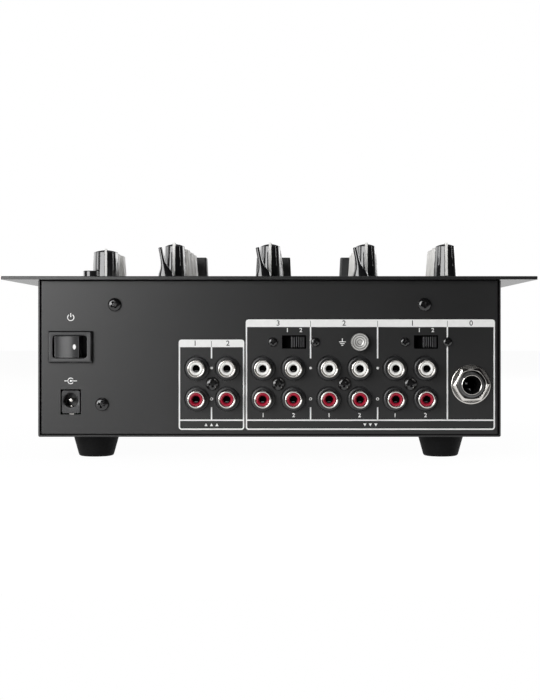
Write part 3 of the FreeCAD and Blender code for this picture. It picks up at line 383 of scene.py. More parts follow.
def matt_above(material, height, more, blend=0.2):
    """Make a finish rougher by a given amount from a height in millimetres upward."""
    tree = material.node_tree
    shader = shader_of(tree)
    place = node(tree, "ShaderNodeSeparateXYZ", Vector=own_place(tree))
    share = node(tree, "ShaderNodeMapRange", Value=place.outputs["Z"], From_Min=(height - blend) * MM,
                 From_Max=height * MM, To_Max=more)
    rough = shader.inputs["Roughness"].links[0].from_socket
    feed(tree, shader, Roughness=reckoned(tree, "ADD", rough, share.outputs["Result"]))


def turned_metal(name, colour, centre, metallic):
    """Metal with the fine rings that a lathe leaves round a rear-facing axis, given in millimetres."""
    material = finish(name, colour, blotch=1200.0, rough=(0.3, 0.45), metallic=metallic)
    tree = material.node_tree
    place = node(tree, "ShaderNodeMapping", Vector=own_place(tree), Scale=(1, 0, 1),
                 Location=(-centre[0] * MM, 0, -centre[1] * MM))
    rings = node(tree, "ShaderNodeTexWave", Vector=place.outputs["Vector"], Scale=290.0, Distortion=0.8,
                 Detail=2.0)
    rings.wave_type = "RINGS"
    rings.rings_direction = "SPHERICAL"
    lines = rings.outputs["Fac"]
    feed(tree, shader_of(tree), Base_Color=tones(tree, lines, scaled(colour, 0.5), scaled(colour, 1.3)),
         Normal=relief(tree, lines, 0.3, 0.00006))
    return material


def circuit_board(name, colour):
    """Solder mask over tracks: a brick grid of paler lines."""
    material = finish(name, colour, rough=(0.25, 0.4), grain_scale=900.0)
    tree = material.node_tree
    tracks = node(tree, "ShaderNodeTexBrick", Vector=own_place(tree), Scale=90.0, Mortar_Size=0.03,
                  Color1=(*colour, 1), Color2=(*scaled(colour, 0.8), 1), Mortar=(*scaled(colour, 2.2), 1))
    feed(tree, shader_of(tree), Base_Color=tracks.outputs["Color"])
    return material


def ribbon_stripes(name, colour):
    """Flat cable: cores side by side across X as a wave of light and dark."""
    material = finish(name, colour)
    tree = material.node_tree
    cores = node(tree, "ShaderNodeTexWave", Vector=own_place(tree), Scale=250.0)
    feed(tree, shader_of(tree), Base_Color=tones(tree, cores.outputs["Fac"], scaled(colour, 0.6), colour))
    return material


# Settings


class MIXER_PG_finishes(bpy.types.PropertyGroup):
    """Colours of the finishes"""

    coat: FloatVectorProperty(name="Powder coat", description="Case and plate", subtype="COLOR",
                              default=(0.0145, 0.0145, 0.0147), min=0, max=1)
    plastic: FloatVectorProperty(name="Plastic", description="Jack blocks and switches", subtype="COLOR",
                                 default=(0.014, 0.014, 0.015), min=0, max=1)
    gloss: FloatVectorProperty(name="Controls", description="Knobs, levers and buttons", subtype="COLOR",
                               default=(0.011, 0.011, 0.012), min=0, max=1)
    ink: FloatVectorProperty(name="Ink", description="Panel print and fader lines", subtype="COLOR",
                             default=(0.84, 0.84, 0.83), min=0, max=1)
    nickel: FloatVectorProperty(name="Nickel", description="Socket tubes and nuts", subtype="COLOR",
                                default=(0.64, 0.62, 0.59), min=0, max=1)
    white: FloatVectorProperty(name="White", description="Upper socket rings and pointers", subtype="COLOR",
                               default=(0.93, 0.925, 0.9), min=0, max=1)
    red: FloatVectorProperty(name="Red rings", description="Lower socket rings", subtype="COLOR",
                             default=(0.36, 0.008, 0.03), min=0, max=1)


class MIXER_PG_knobs(bpy.types.PropertyGroup):
    """Sizes of the knobs"""

    flutes: IntProperty(name="Flutes", description="Finger flutes beside the pointer", default=8, min=3)
    flute_radius: FloatProperty(name="Flute radius", description="Radius of a flute in mm", default=0.8)
    flute_depth: FloatProperty(name="Flute depth", description="Depth of a flute in mm", default=0.3)
    flute_length: FloatProperty(name="Flute length", description="Length of a flute in mm", default=10.0)
    crown: FloatProperty(name="Crown", description="Rise of the domed top in mm", default=1.1)
    rim: FloatProperty(name="Rim", description="Rounding of the top's edge in mm", default=0.25)
    lift: FloatProperty(name="Lift", description="Gap above the plate in mm", default=0.8)
    pointer_width: FloatProperty(name="Pointer width", description="Width in mm", default=1.3)
    pointer_proud: FloatProperty(name="Pointer proud", description="Height on the side in mm", default=0.25)
    pointer_rise: FloatProperty(name="Pointer rise", description="Height on the top in mm", default=0.4)
    master_turn: FloatProperty(name="Master turn", description="Turn of the large knob", unit="ROTATION",
                               default=math.radians(7.5))


class MIXER_PG_print(bpy.types.PropertyGroup):
    """Sizes of the print on the jack panel and the plate"""

    line: FloatProperty(name="Line", description="Width of a frame's line in mm", default=0.65)
    corner: FloatProperty(name="Corner", description="Corner radius of a frame in mm", default=1.4)
    bar: FloatProperty(name="Header", description="Height of a header bar in mm", default=3.6)
    thickness: FloatProperty(name="Thickness", description="Height of the ink in mm", default=0.03)
    figure: FloatProperty(name="Figures", description="Height of the figures in mm", default=2.5)


class MIXER_PG_stage(bpy.types.PropertyGroup):
    """Camera and lamps"""

    eye: FloatVectorProperty(name="Eye", description="Camera place", subtype="XYZ", unit="LENGTH",
                             default=(-0.0126, 0.82875, 0.0598))
    lens: FloatProperty(name="Lens", description="Focal length", unit="CAMERA", default=73.8)
    shift: FloatVectorProperty(name="Shift", description="Lens shift in image heights", size=2,
                               default=(-0.0371, -0.0243))
    key: FloatProperty(name="Key lamp", description="Power of the main softbox", unit="POWER", default=12.3)
    rims: FloatProperty(name="Rim lamps", description="Power of each softbox behind the mixer", unit="POWER",
                        default=4.6)
    top: FloatProperty(name="Top lamp", description="Power of the overhead softbox", unit="POWER",
                       default=5.0)
    ambient: FloatProperty(name="Ambient", description="Strength of the room's light", default=0.3)
    front: FloatProperty(name="Front", description="Share of it that comes from behind the camera",
                         default=0.1)


# Case

CAD_COATS = {
    "coat": ("chassis_tray", "rear_panel", "front_panel"),
    "plate": ("top_plate",),
    "oxide": ("case_screws",),
    "board": ("control_board", "input_board", "power_board"),
    "zinc": ("board_standoffs", "potentiometer_bodies", "fader_housings", "ground_bush"),
    "plastic": ("switch_bodies",),
    # The selector frames take the painted-shade finish, which darkens the wells round the sliders.
    "dark": ("selector_frames",),
    "ribbon": ("ribbon_cable",),
    "smoke": ("level_meter",),
}
PLATE_EDGE = 0.05
PLATE_MATT = 0.3
FOOT_R = 11.2
FOOT_PROFILE = [(1.7, 5.5), (4.0, 5.5), (4.0, 0.4), (4.4, 0.0), (7.1, 0.0), (7.8, 0.15), (8.35, 0.55),
                (8.65, 1.3), (11.05, 10.0), (FOOT_R, 10.4), (1.7, 10.4), (1.7, 5.5)]


class MIXER_OT_paint_case(bpy.types.Operator):
    """Make the finishes and give them to the CAD nodes that stay in view"""

    bl_idname = "mixer.paint_case"
    bl_label = "Paint case"

    def execute(self, context):
        tint = context.scene.mixer_finishes
        FINISHES.update(
            coat=finish("powder_coat", tint.coat, vary=0.1, blotch=25.0, rough=(0.28, 0.35),
                        grain_scale=2600.0, bump=0.15, specular=0.41),
            plate=finish("plate_coat", tint.coat, vary=0.1, blotch=25.0, rough=(0.25, 0.33),
                         grain_scale=2600.0, bump=0.05, depth=0.00003),
            plastic=finish("moulded_plastic", tint.plastic, rough=(0.28, 0.4), grain_scale=3500.0),
            gloss=finish("glossy_plastic", tint.gloss, vary=0.08, rough=(0.1, 0.16), grain_scale=1500.0,
                         bump=0.015, depth=0.00002, coat=0.6),
            grey=finish("grey_plastic", (0.75, 0.74, 0.715), vary=0.04, rough=(0.3, 0.4), bump=0.05),
            satin=finish("satin_plastic", (0.016, 0.016, 0.0165), vary=0.08, rough=(0.36, 0.46), bump=0.05),
            rubber=finish("foot_rubber", (0.0035, 0.0035, 0.0038), vary=0.25, blotch=150.0, rough=(0.6, 0.8),
                          grain_scale=1800.0, bump=0.4, depth=0.0001, specular=0.12),
            oxide=finish("black_screw", (0.006, 0.006, 0.0063), vary=0.2, rough=(0.14, 0.2),
                         grain_scale=3000.0, bump=0.01, coat=0.5),
            thread=finish("dark_thread", (0.12, 0.12, 0.12), vary=0.15, rough=(0.3, 0.4), metallic=1.0),
            nickel=finish("bright_nickel", tint.nickel, vary=0.06, blotch=300.0, rough=(0.1, 0.18),
                          grain_scale=1200.0, bump=0.03, metallic=1.0),
            zinc=finish("zinc_plate", (0.5, 0.5, 0.5), vary=0.15, blotch=300.0, rough=(0.3, 0.45),
                        metallic=1.0),
            white=finish("white_ring", tint.white, vary=0.03, rough=(0.25, 0.35), grain_scale=3000.0,
                         bump=0.05),
            red=finish("red_ring", tint.red, vary=0.1, rough=(0.22, 0.32), grain_scale=3000.0, bump=0.05),
            ink=finish("screen_ink", tint.ink, vary=0.03, blotch=500.0, rough=(0.45, 0.6),
                       grain_scale=4000.0),
            black_ink=finish("black_ink", (0.02, 0.02, 0.02), rough=(0.45, 0.6), grain_scale=4000.0),
            # Painted shade: a near-black finish with almost no reflection, put in the socket bores and the
            # selector wells so that they read as shadowed hollows.
            dark=finish("painted_hole_shade", (0.004, 0.004, 0.004), rough=(0.5, 0.7), specular=0.02),
            board=circuit_board("circuit_board", (0.015, 0.11, 0.04)),
            ribbon=ribbon_stripes("ribbon_cable", (0.42, 0.42, 0.43)),
            smoke=finish("smoked_window", (0.012, 0.008, 0.008), rough=(0.08, 0.14), bump=0.02),
        )
        matt_above(FINISHES["plate"], PLATE_TOP - PLATE_EDGE, PLATE_MATT)
        for key, names in CAD_COATS.items():
            for name in names:
                mesh = frame["nodes"][name].data
                mesh.materials.clear()
                mesh.materials.append(FINISHES[key])
        return {"FINISHED"}


class MIXER_OT_add_feet(bpy.types.Operator):
    """Add the four rubber feet, each a tapered turned form with a screw well"""

    bl_idname = "mixer.add_feet"
    bl_label = "Add feet"

    def execute(self, context):
        low, high = box("rubber_feet")
        places = [(x, y, 0) for x in (low[0] + FOOT_R, high[0] - FOOT_R)
                  for y in (low[1] + FOOT_R, high[1] - FOOT_R)]
        feet = repeated(lathe(FOOT_PROFILE, 72), places)
        add_piece("rubber_feet_moulded", [(feet, "rubber")], CHASSIS, ["rubber_feet"])
        return {"FINISHED"}


# Controls on the plate

LARGE_KNOB_R = 6.5
LARGE_TAPER = 0.9
SMALL_TAPER = 1.2
SHAFT_R = 3.0
SHAFT_TOP = 0.5
CAP_LIFT = 2.5
CAP_SAG = 0.7
LINE_HALF_LENGTH = 9.3
BUTTON_STEM_R = 1.5
BUTTON_DEPTH = 3.0
BUTTON_ROUND = 0.5
LENS_COUNTS = (7, 3, 2)
LENS_COLOURS = {
    "green_lens": (0.03, 0.16, 0.04),
    "amber_lens": (0.3, 0.13, 0.01),
    "red_lens": (0.28, 0.015, 0.012),
}
LENS_ROOM = 1.5
LENS_COLUMN_X = 2.9


def knob_shell(base_r, tip_r, height, shape):
    """Fluted knob: a straight taper less a circle's sagitta round each flute, a rounded rim and a domed top.

    The flutes stand at equal turns from the pointer, fade out at their feet and reach into the rim.
    """
    turn = turns(216)
    step = 2 * np.pi / (shape.flutes + 1)
    from_pointer = np.mod(turn - np.pi / 2, 2 * np.pi)
    away = from_pointer - np.clip(np.round(from_pointer / step), 1, shape.flutes) * step
    edge = height - shape.crown
    top_side = edge - shape.rim
    foot = height - shape.flute_length
    rise = np.concatenate([[0.0, 0.2, 0.2], np.linspace(0.5, foot - 1.2, 4),
                           np.linspace(foot - 1.0, foot + 0.4, 9), np.linspace(foot + 1.2, top_side, 8)])
    inset = np.zeros(len(rise))
    inset[:2] = (0.35, 0.1)
    taper = base_r + (tip_r - base_r) * rise / height - inset
    run = np.sqrt(np.clip(1 - np.clip((foot - rise) / shape.flute_radius, 0, 1) ** 2, 0, 1))
    arc = taper[:, None] * away[None, :]
    bow = np.sqrt(np.clip(shape.flute_radius ** 2 - arc ** 2, 0, None))
    sagitta = np.clip(bow - shape.flute_radius + shape.flute_depth, 0, None)
    side = taper[:, None] - sagitta * run[:, None]
    bend = np.linspace(0, np.pi / 2, 7)[1:]
    rim = side[-1][None, :] - shape.rim * (1 - np.cos(bend))[:, None]
    share = np.linspace(1, 0, 9)[1:]
    dome = rim[-1][None, :] * share[:, None]
    radius = np.concatenate([np.zeros((1, len(turn))), side, rim, dome])
    rim_z = top_side + shape.rim * np.sin(bend)
    dome_z = edge + shape.crown * (1 - share ** 2)
    z = np.concatenate([[0.0], rise, rim_z, dome_z])
    return round_shell(radius, z[:, None], turn)


def pointer_shell(base_r, tip_r, height, shape):
    """Pointer rib: a bar with eased edges, carried up the taper, round a small corner and over the top."""
    top = height + shape.pointer_rise
    corner = 0.4
    ease = 0.15
    side_depth = 0.85
    top_depth = 2.2
    side_z = np.linspace(0.3, top - corner, 14)
    side_y = base_r + shape.pointer_proud + (tip_r - base_r) * side_z / height
    bend_y = side_y[-1] - corner * (1 - np.cos(BEND))
    top_y = np.linspace(bend_y[-1], 0.5, 5)[1:]
    path = np.concatenate([np.column_stack([side_y, side_z]),
                           np.column_stack([bend_y, top - corner + corner * np.sin(BEND)]),
                           np.column_stack([top_y, np.full(len(top_y), top)])])
    along = np.gradient(path, axis=0)
    along /= np.linalg.norm(along, axis=1)[:, None]
    normal = np.column_stack([along[:, 1], -along[:, 0]])
    half = shape.pointer_width / 2
    across = np.array([half, half, half - ease, 0.0, ease - half, -half, -half])
    depth = np.concatenate([np.full(len(side_z), side_depth), np.linspace(side_depth, top_depth, len(BEND)),
                            np.full(len(top_y), top_depth)])
    lift = np.outer(depth, [-1.0, 0, 0, 0, 0, 0, -1.0]) + [0, -ease, 0, 0, 0, -ease, 0]
    ends = np.full((2, len(across)), -depth[[0, -1]][:, None] / 2)
    lift = np.concatenate([ends[:1], lift, ends[1:]])
    path = np.concatenate([path[:1], path, path[-1:]])
    normal = np.concatenate([normal[:1], normal, normal[-1:]])
    y = path[:, None, 0] + normal[:, None, 0] * lift
    z = path[:, None, 1] + normal[:, None, 1] * lift
    points = np.stack([across[None, :] + 0 * y, y, z], axis=-1)
    points[[0, -1], :, 0] = 0
    return outward(surface(points, close_cols=True))


class MIXER_OT_add_knobs(bpy.types.Operator):
    """Add every knob with its pointer and shaft"""

    bl_idname = "mixer.add_knobs"
    bl_label = "Add knobs"

    def execute(self, context):
        shape = context.scene.mixer_knobs
        foot = PLATE_TOP + shape.lift
        for name in moving("_knob"):
            low, high = box(name)
            x, y = place_of(JOINTS[name])[:2]
            base_r = (high[0] - low[0]) / 2
            large = base_r > LARGE_KNOB_R
            tip_r = base_r - (LARGE_TAPER if large else SMALL_TAPER)
            sizes = base_r, tip_r, high[2] - foot - shape.pointer_rise
            turn = math.degrees(shape.master_turn) if large else 0
            end = low[2] - foot
            shells = (spun(knob_shell(*sizes, shape), turn), spun(pointer_shell(*sizes, shape), turn),
                      lathe([(0, end), (SHAFT_R, end), (SHAFT_R, SHAFT_TOP), (0, SHAFT_TOP)], 48))
            black = name.endswith("_gain_knob") or name in ("mic_level_knob", "master_level_knob")
            keys = ("gloss", "white", "zinc") if black else ("grey", "black_ink", "zinc")
            parts = [(moved(shell, (x, y, foot)), key) for shell, key in zip(shells, keys)]
            add_piece(f"{name}_moulded", parts, name, [name])
        return {"FINISHED"}


def lever_shell(root, reach):
    """Paddle of oval sections, with a squared tip.

    The half-width falls along a bell, 0.9 + 2.75 / (1 + (rise / 4.3)^3.2), and the half-depth evenly to 1.3.
    """
    ease = 0.4
    rise = np.concatenate([[-1.0], np.linspace(0, 9.5, 24), np.linspace(10.3, reach - root - ease, 5)])
    above = np.clip(rise, 0, None)
    half_w = 0.9 + 2.75 / (1 + (above / 4.3) ** 3.2)
    half_d = 2.5 - 1.2 * above / rise[-1]
    inset = ease * (1 - np.cos(BEND))
    heights = np.concatenate([[0, root - 1.0], root + rise, reach - ease + ease * np.sin(BEND)])
    half_w = np.concatenate([[1.2, 1.2], half_w, half_w[-1] - inset])
    half_d = np.concatenate([[2.5, 2.5], half_d, half_d[-1] - inset])
    return capped([superellipse(a, b, 2.3, 64) for a, b in zip(half_w, half_d)], heights)


class MIXER_OT_add_levers(bpy.types.Operator):
    """Add the input levers, leaning to the player's right"""

    bl_idname = "mixer.add_levers"
    bl_label = "Add input levers"

    def execute(self, context):
        for name in moving("_input_lever"):
            pivot = place_of(JOINTS[name])
            lean = -JOINTS[name]["range_deg"][0] / 2
            reach = (box(name)[1][2] - pivot[2]) / math.cos(math.radians(lean)) - 0.2
            paddle = moved(tilted(lever_shell(PLATE_TOP - pivot[2], reach), lean), pivot)
            add_piece(f"{name}_moulded", [(paddle, "gloss")], name, [name])
        return {"FINISHED"}


def cap_shells(bottom, top, stem_low):
    """Fader cap along X: superelliptic sections that taper upward, a rounded edge and a top dished along Y.

    Also its white line, a strip laid in the dish, and its stem.
    """
    rise = np.linspace(0, 1, 8)
    edge = 0.5
    foot = bottom + 0.3
    inset = edge * (1 - np.cos(BEND))
    shoulder = top - edge
    z = np.concatenate([[bottom, bottom], foot + (shoulder - foot) * rise, shoulder + edge * np.sin(BEND)])
    half_w = np.concatenate([[0, 9.7], 10.0 - 0.6 * rise, 9.4 - inset])
    half_d = np.concatenate([[0, 5.2], 5.5 - 1.2 * rise, 4.3 - inset])
    loops = [superellipse(a, b, 24.0, 112) for a, b in zip(half_w, half_d)]
    rows = [level(loop, height) for loop, height in zip(loops, z)]
    for share in np.linspace(1, 0, 9)[1:]:
        inner = loops[-1] * share
        sag = CAP_SAG * (1 - np.clip(np.abs(inner[:, 1]) / half_d[-1], 0, 1) ** 2)
        rows.append(np.column_stack([inner, top - sag * np.clip((1 - share) / 0.12, 0, 1)]))
    line_y = np.array([-0.55, -0.4, 0.4, 0.55])
    line_z = top - CAP_SAG * (1 - (line_y / half_d[-1]) ** 2) + [-0.1, 0.06, 0.06, -0.1]
    points, quads = capped([np.column_stack([line_y, line_z])] * 2, [-LINE_HALF_LENGTH, LINE_HALF_LENGTH])
    stem = capped([superellipse(0.8, 2.0, 10.0, 32)] * 2, [stem_low, bottom + 1])
    return outward(surface(np.array(rows), close_cols=True)), (points[:, [2, 0, 1]], quads), stem


class MIXER_OT_add_fader_caps(bpy.types.Operator):
    """Add the caps of the channel faders and the crossfader"""

    bl_idname = "mixer.add_fader_caps"
    bl_label = "Add fader caps"

    def execute(self, context):
        for name in moving("fader"):
            low, high = box(name)
            middle, half = extent(name)
            turn = 90 if half[1] > half[0] else 0
            shells = cap_shells(PLATE_TOP + CAP_LIFT, high[2], low[2])
            parts = [(moved(spun(shell, turn), middle * [1, 1, 0]), key)
                     for shell, key in zip(shells, ("satin", "ink", "zinc"))]
            add_piece(f"{name}_cap", parts, name, [name])
        return {"FINISHED"}


class MIXER_OT_add_buttons(bpy.types.Operator):
    """Add the round push buttons, turned forms with a dished face"""

    bl_idname = "mixer.add_buttons"
    bl_label = "Add buttons"

    def execute(self, context):
        shoulder = PLATE_TOP - BUTTON_DEPTH
        for name in moving("_button"):
            low, high = box(name)
            middle, half = extent(name)
            radius = half[0]
            top = high[2]
            edge = arc_profile(radius - BUTTON_ROUND, top - BUTTON_ROUND, BUTTON_ROUND, QUARTER)
            dish = [(radius * k, top - 0.35 * (1 - (k / 0.86) ** 2)) for k in (0.8, 0.6, 0.4, 0.2, 0.0)]
            stem = [(0, low[2]), (BUTTON_STEM_R, low[2]), (BUTTON_STEM_R, shoulder), (radius, shoulder)]
            button = moved(lathe(stem + edge + dish, 72), middle * [1, 1, 0])
            add_piece(f"{name}_moulded", [(button, "gloss")], name, [name])
        return {"FINISHED"}


class MIXER_OT_add_meter(bpy.types.Operator):
    """Add the level meter's lamps, two columns of rounded lenses on the meter's window"""

    bl_idname = "mixer.add_meter"
    bl_label = "Add level meter"

    def execute(self, context):
        low, high = box("level_meter")
        x = (low[0] + high[0]) / 2
        count = sum(LENS_COUNTS)
        pitch = (high[1] - low[1] - 2 * LENS_ROOM) / count
        loop = rounded_loop(1.9, pitch * 0.34, 0.3, 4)
        lens = capped([loop, loop, loop * 0.92], [-0.3, 0.05, 0.14])
        rows = low[1] + LENS_ROOM + pitch * (np.arange(count) + 0.5)
        spans = np.split(rows, np.cumsum(LENS_COUNTS)[:-1])
        parts = []
        for (key, colour), ys in zip(LENS_COLOURS.items(), spans):
            FINISHES[key] = finish(key, colour, rough=(0.15, 0.25), bump=0.03)
            places = [(x + side * LENS_COLUMN_X, y, high[2]) for y in ys for side in BOTH_SIDES]
            parts.append((repeated(lens, places), key))
        add_piece("level_meter_lenses", parts, CHASSIS)
        return {"FINISHED"}


# Jack panel

LIP = arc_profile(3.65, 8.0, 0.5, np.linspace(0, np.pi, 11))
TUBE_PROFILE = [(3.15, 1.0), (4.15, 1.0), *LIP, (3.15, 1.0)]
RING_PROFILE = [(0, 1.6), (3.13, 1.6), (3.13, 7.6), (3.05, 7.9), (2.85, 8.1), (2.6, 8.15), (2.42, 8.08),
                (1.85, 7.3), (1.75, 7.0), (1.75, 2.6), (0, 2.6)]
COLLAR_PROFILE = [(0, -1.2), (5.5, -1.2), (5.5, 1.05), (5.4, 1.33), (5.15, 1.5), (4.6, 1.5), (4.4, 1.35),
                  (4.3, 0.9), (0, 0.9)]
# A sleeve that lines each phono socket's hole and closes its floor. It carries the painted-shade finish, standing
# in for the shadow inside the hole.
SHADE_SLEEVE_PROFILE = [(0, 2.5), (1.74, 2.5), (1.74, 6.9), (1.6, 6.8), (1.6, 2.9), (0, 2.8)]
PANEL_BACK = -1.05
PANEL_SCREW_R = 3.2
PANEL_SCREW_TURNS = (8, 31, -12, 20, -5, 38, 12)
SELECTOR_SCREW_R = 2.25
SELECTOR_SCREW_X = 10.1
SELECTOR_SCREW_TURNS = (25, 5, 40, 15)
RIB_PITCH = 1.05
RIBS_HALF_LENGTH = 2.1
SLIDER_ROUND = 0.35
SLIDER_EASE = 0.25
GROUND_STEM = 8.0
GROUND_STEM_R = 1.5
PHONE_END = -25.0
PHONE_BORE_END = -19.5
THREAD = [(6.0 - 0.22 * (k % 2), -0.8 + 0.25 * k) for k in range(21)]
BUSH_PROFILE = [(4.86, -1.2), (5.8, -1.2), *THREAD, (5.7, 4.45), (5.5, 4.6), (4.95, 4.6), (4.86, 4.4),
                (4.86, -1.2)]
MOUTH_PROFILE = [(4.3, -1.0), (4.85, -1.0), (4.85, 4.3), (4.78, 4.5), (4.6, 4.58), (4.42, 4.48), (4.3, 4.2),
                 (4.3, -1.0)]
BORE_PROFILE = [(4.29, -1.0), (4.29, 3.9), (4.2, 3.6), (3.3, 1.2), (3.22, 0.4), (3.22, -19.2), (0, -19.2),
                (0, -19.4), (3.5, -19.4), (3.5, -1.0), (4.29, -1.0)]
WASHER_PROFILE = [(6.1, 0.0), (9.4, 0.0), (9.4, 0.5), (9.36, 0.66), (9.26, 0.76), (9.1, 0.8), (8.9, 0.8),
                  (6.3, 0.8), (6.1, 0.6), (6.1, 0.0)]
ROCKER_HALF_LENGTH = 6.1
ROCKER_HALF_WIDTH = 5.1
ROCKER_RISE = 6.5
ROCKER_DISH = 1.2
ROCKER_DOT_U = -3.6
PIN_PROFILE = [(0, -8.9), (1.0, -8.9), *arc_profile(0.45, -1.5, 0.55, QUARTER), (0, -0.95)]


def socket_places(ending):
    """Places on the rear panel of the sockets whose mounts end in a word."""
    places = [place_of(mount) for name, mount in MOUNTS.items() if name.endswith(ending)]
    return [(place[0], PANEL_Y, place[2]) for place in places]


def socket_columns():
    """The sockets' places across the panel, in order."""
    return np.unique(np.round([place[0] for place in socket_places("socket")], 3))


def block_columns():
    """The jack blocks' middles: each block holds two columns of sockets."""
    return socket_columns().reshape(-1, 2).mean(axis=1)


def selector_middle(name):
    """Place across and up the panel of the middle of a selector's travel."""
    middle = extent(name)[0]
    return middle[0] + JOINTS[name]["range_m"][1] / MM / 2, middle[2]


class MIXER_OT_add_phono_sockets(bpy.types.Operator):
    """Add the phono sockets: jack blocks with round collars, tubes with rolled lips and coloured rings"""

    bl_idname = "mixer.add_phono_sockets"
    bl_label = "Add phono sockets"

    def execute(self, context):
        whites = socket_places("_left_socket")
        reds = socket_places("_right_socket")
        low = box("rca_jack_housings")[0]
        middle, half = extent("rca_jack_housings")
        columns = block_columns()
        loop = rounded_loop(columns[0] - low[0], half[2], 0.6, 5)
        block = capped([loop] * 2, [low[1] - PANEL_Y, PANEL_BACK])
        blocks = repeated(facing_rear(block), [(x, PANEL_Y, middle[2]) for x in columns])
        leaf = moved(capped([rounded_loop(0.75, 0.22, 0.15, 4)] * 2, [2.6, 5.6]), (0.15, 1.2, 0))

        def sockets(shell, places):
            """A shell at each of the given sockets."""
            return repeated(facing_rear(shell), places)

        ring = lathe(RING_PROFILE)
        every = whites + reds
        housings = joined([blocks, sockets(lathe(COLLAR_PROFILE, 72), every)])
        for name, shell, key, slot, replaced in (
            ("phono_blocks", housings, "plastic", "black_plastic", ["rca_jack_housings"]),
            ("phono_tubes", sockets(lathe(TUBE_PROFILE), every), "nickel", "nickel", ["rca_shells"]),
            ("phono_white_rings", sockets(ring, whites), "white", "white_plastic", ["rca_white_insulators"]),
            ("phono_red_rings", sockets(ring, reds), "red", "red_plastic", ["rca_red_insulators"]),
            # Painted shade: dark sleeves in the holes of the phono sockets.
            ("phono_bore_shade_sleeves", sockets(lathe(SHADE_SLEEVE_PROFILE, 32), every), "dark", "black_plastic", []),
            ("phono_contact_leaves", sockets(leaf, every), "thread", "zinc", []),
        ):
            add_piece(name, [(shell, key)], CHASSIS, replaced)
        return {"FINISHED"}


def cross_head(radius, height, edge, shank):
    """Domed screw head on a polar grid: a half ellipse of height less a cross of two tapered bars."""
    turn = turns(96)
    r = radius * np.concatenate([np.linspace(0, 0.7, 22), np.linspace(0.74, 1.0, 9)])
    dome = edge + (height - edge) * np.sqrt(1 - np.clip(r / radius, 0, 1) ** 3.5)
    reach = radius * 0.56
    wide = radius * 0.15
    plan = np.abs(polar_grid(r[:, None], 0.0, turn)[..., :2])
    wall = np.clip((wide - plan.min(axis=-1)) / 0.16 + 0.5, 0, 1)
    deep = np.clip((reach - plan.max(axis=-1)) / (reach * 0.75), 0, 1)
    z = dome[:, None] - wall * np.minimum(deep * 1.6, 1.0) * height * 0.62
    stem = np.repeat([[-4.0], [-4.0], [0.0], [0.0]], len(turn), axis=1)
    radii = np.concatenate([[0.0, shank, shank, radius], r[::-1]])
    return round_shell(radii[:, None], np.concatenate([stem, z[::-1]]), turn)


class MIXER_OT_add_screws(bpy.types.Operator):
    """Add the domed screws of the jack panel"""

    bl_idname = "mixer.add_screws"
    bl_label = "Add panel screws"

    def execute(self, context):
        low, high = box("rear_panel_screws")
        left = low[0] + PANEL_SCREW_R
        top = high[2] - PANEL_SCREW_R
        places = [(left, top), (-left, top), (high[0] - PANEL_SCREW_R, low[2] + PANEL_SCREW_R)]
        middle = np.mean([place[2] for place in socket_places("socket")])
        places += [(x, middle) for x in block_columns()]
        large = cross_head(PANEL_SCREW_R, height=2.2, edge=0.8, shank=1.5)
        small = cross_head(SELECTOR_SCREW_R, height=1.6, edge=0.6, shank=1.1)
        beside = [(x + side * SELECTOR_SCREW_X, z)
                  for x, z in map(selector_middle, SELECTORS) for side in BOTH_SIDES]
        for name, head, spots, angles, replaced in (
            ("panel_screw_heads", large, places, PANEL_SCREW_TURNS, "rear_panel_screws"),
            ("selector_screw_heads", small, beside, SELECTOR_SCREW_TURNS, "selector_screws"),
        ):
            heads = joined([on_panel(spun(head, angle), *spot) for angle, spot in zip(angles, spots)])
            add_piece(name, [(heads, "oxide")], CHASSIS, [replaced], sharp=30.0)
        return {"FINISHED"}


class MIXER_OT_add_selectors(bpy.types.Operator):
    """Add the ribbed selector sliders: a rounded rib profile along X carried across Z"""

    bl_idname = "mixer.add_selectors"
    bl_label = "Add selectors"

    def execute(self, context):
        for name in SELECTORS:
            low, high = box(name)
            middle, half = extent(name)
            x = np.linspace(low[0], high[0], 360)
            u = x - middle[0]
            from_crest = np.abs(np.mod(u, RIB_PITCH) - RIB_PITCH / 2)
            groove = from_crest ** 2 / 0.8 + 0.9 * np.clip((from_crest - 0.22) / 0.06, 0, 1)
            ends = np.clip(np.minimum(x - low[0], high[0] - x) / SLIDER_ROUND, 0, 1)
            fall = SLIDER_ROUND * (1 - np.sqrt(1 - (1 - ends) ** 2))
            face = high[1] - np.where(np.abs(u) < RIBS_HALF_LENGTH, groove, 0.0) - fall
            loop = np.concatenate([np.column_stack([x, face]), [[high[0], low[1]], [low[0], low[1]]]])
            eased = np.column_stack([loop[:, 0], np.minimum(loop[:, 1], high[1] - SLIDER_EASE)])
            inner = half[2] - SLIDER_EASE
            levels = np.array([-half[2], -half[2], -inner, inner, half[2], half[2]])
            slider = stacked([shrink(loop), eased, loop, loop, eased, shrink(loop)], middle[2] + levels)
            add_piece(f"{name}_slider", [(slider, "plastic")], name, [name])
        return {"FINISHED"}


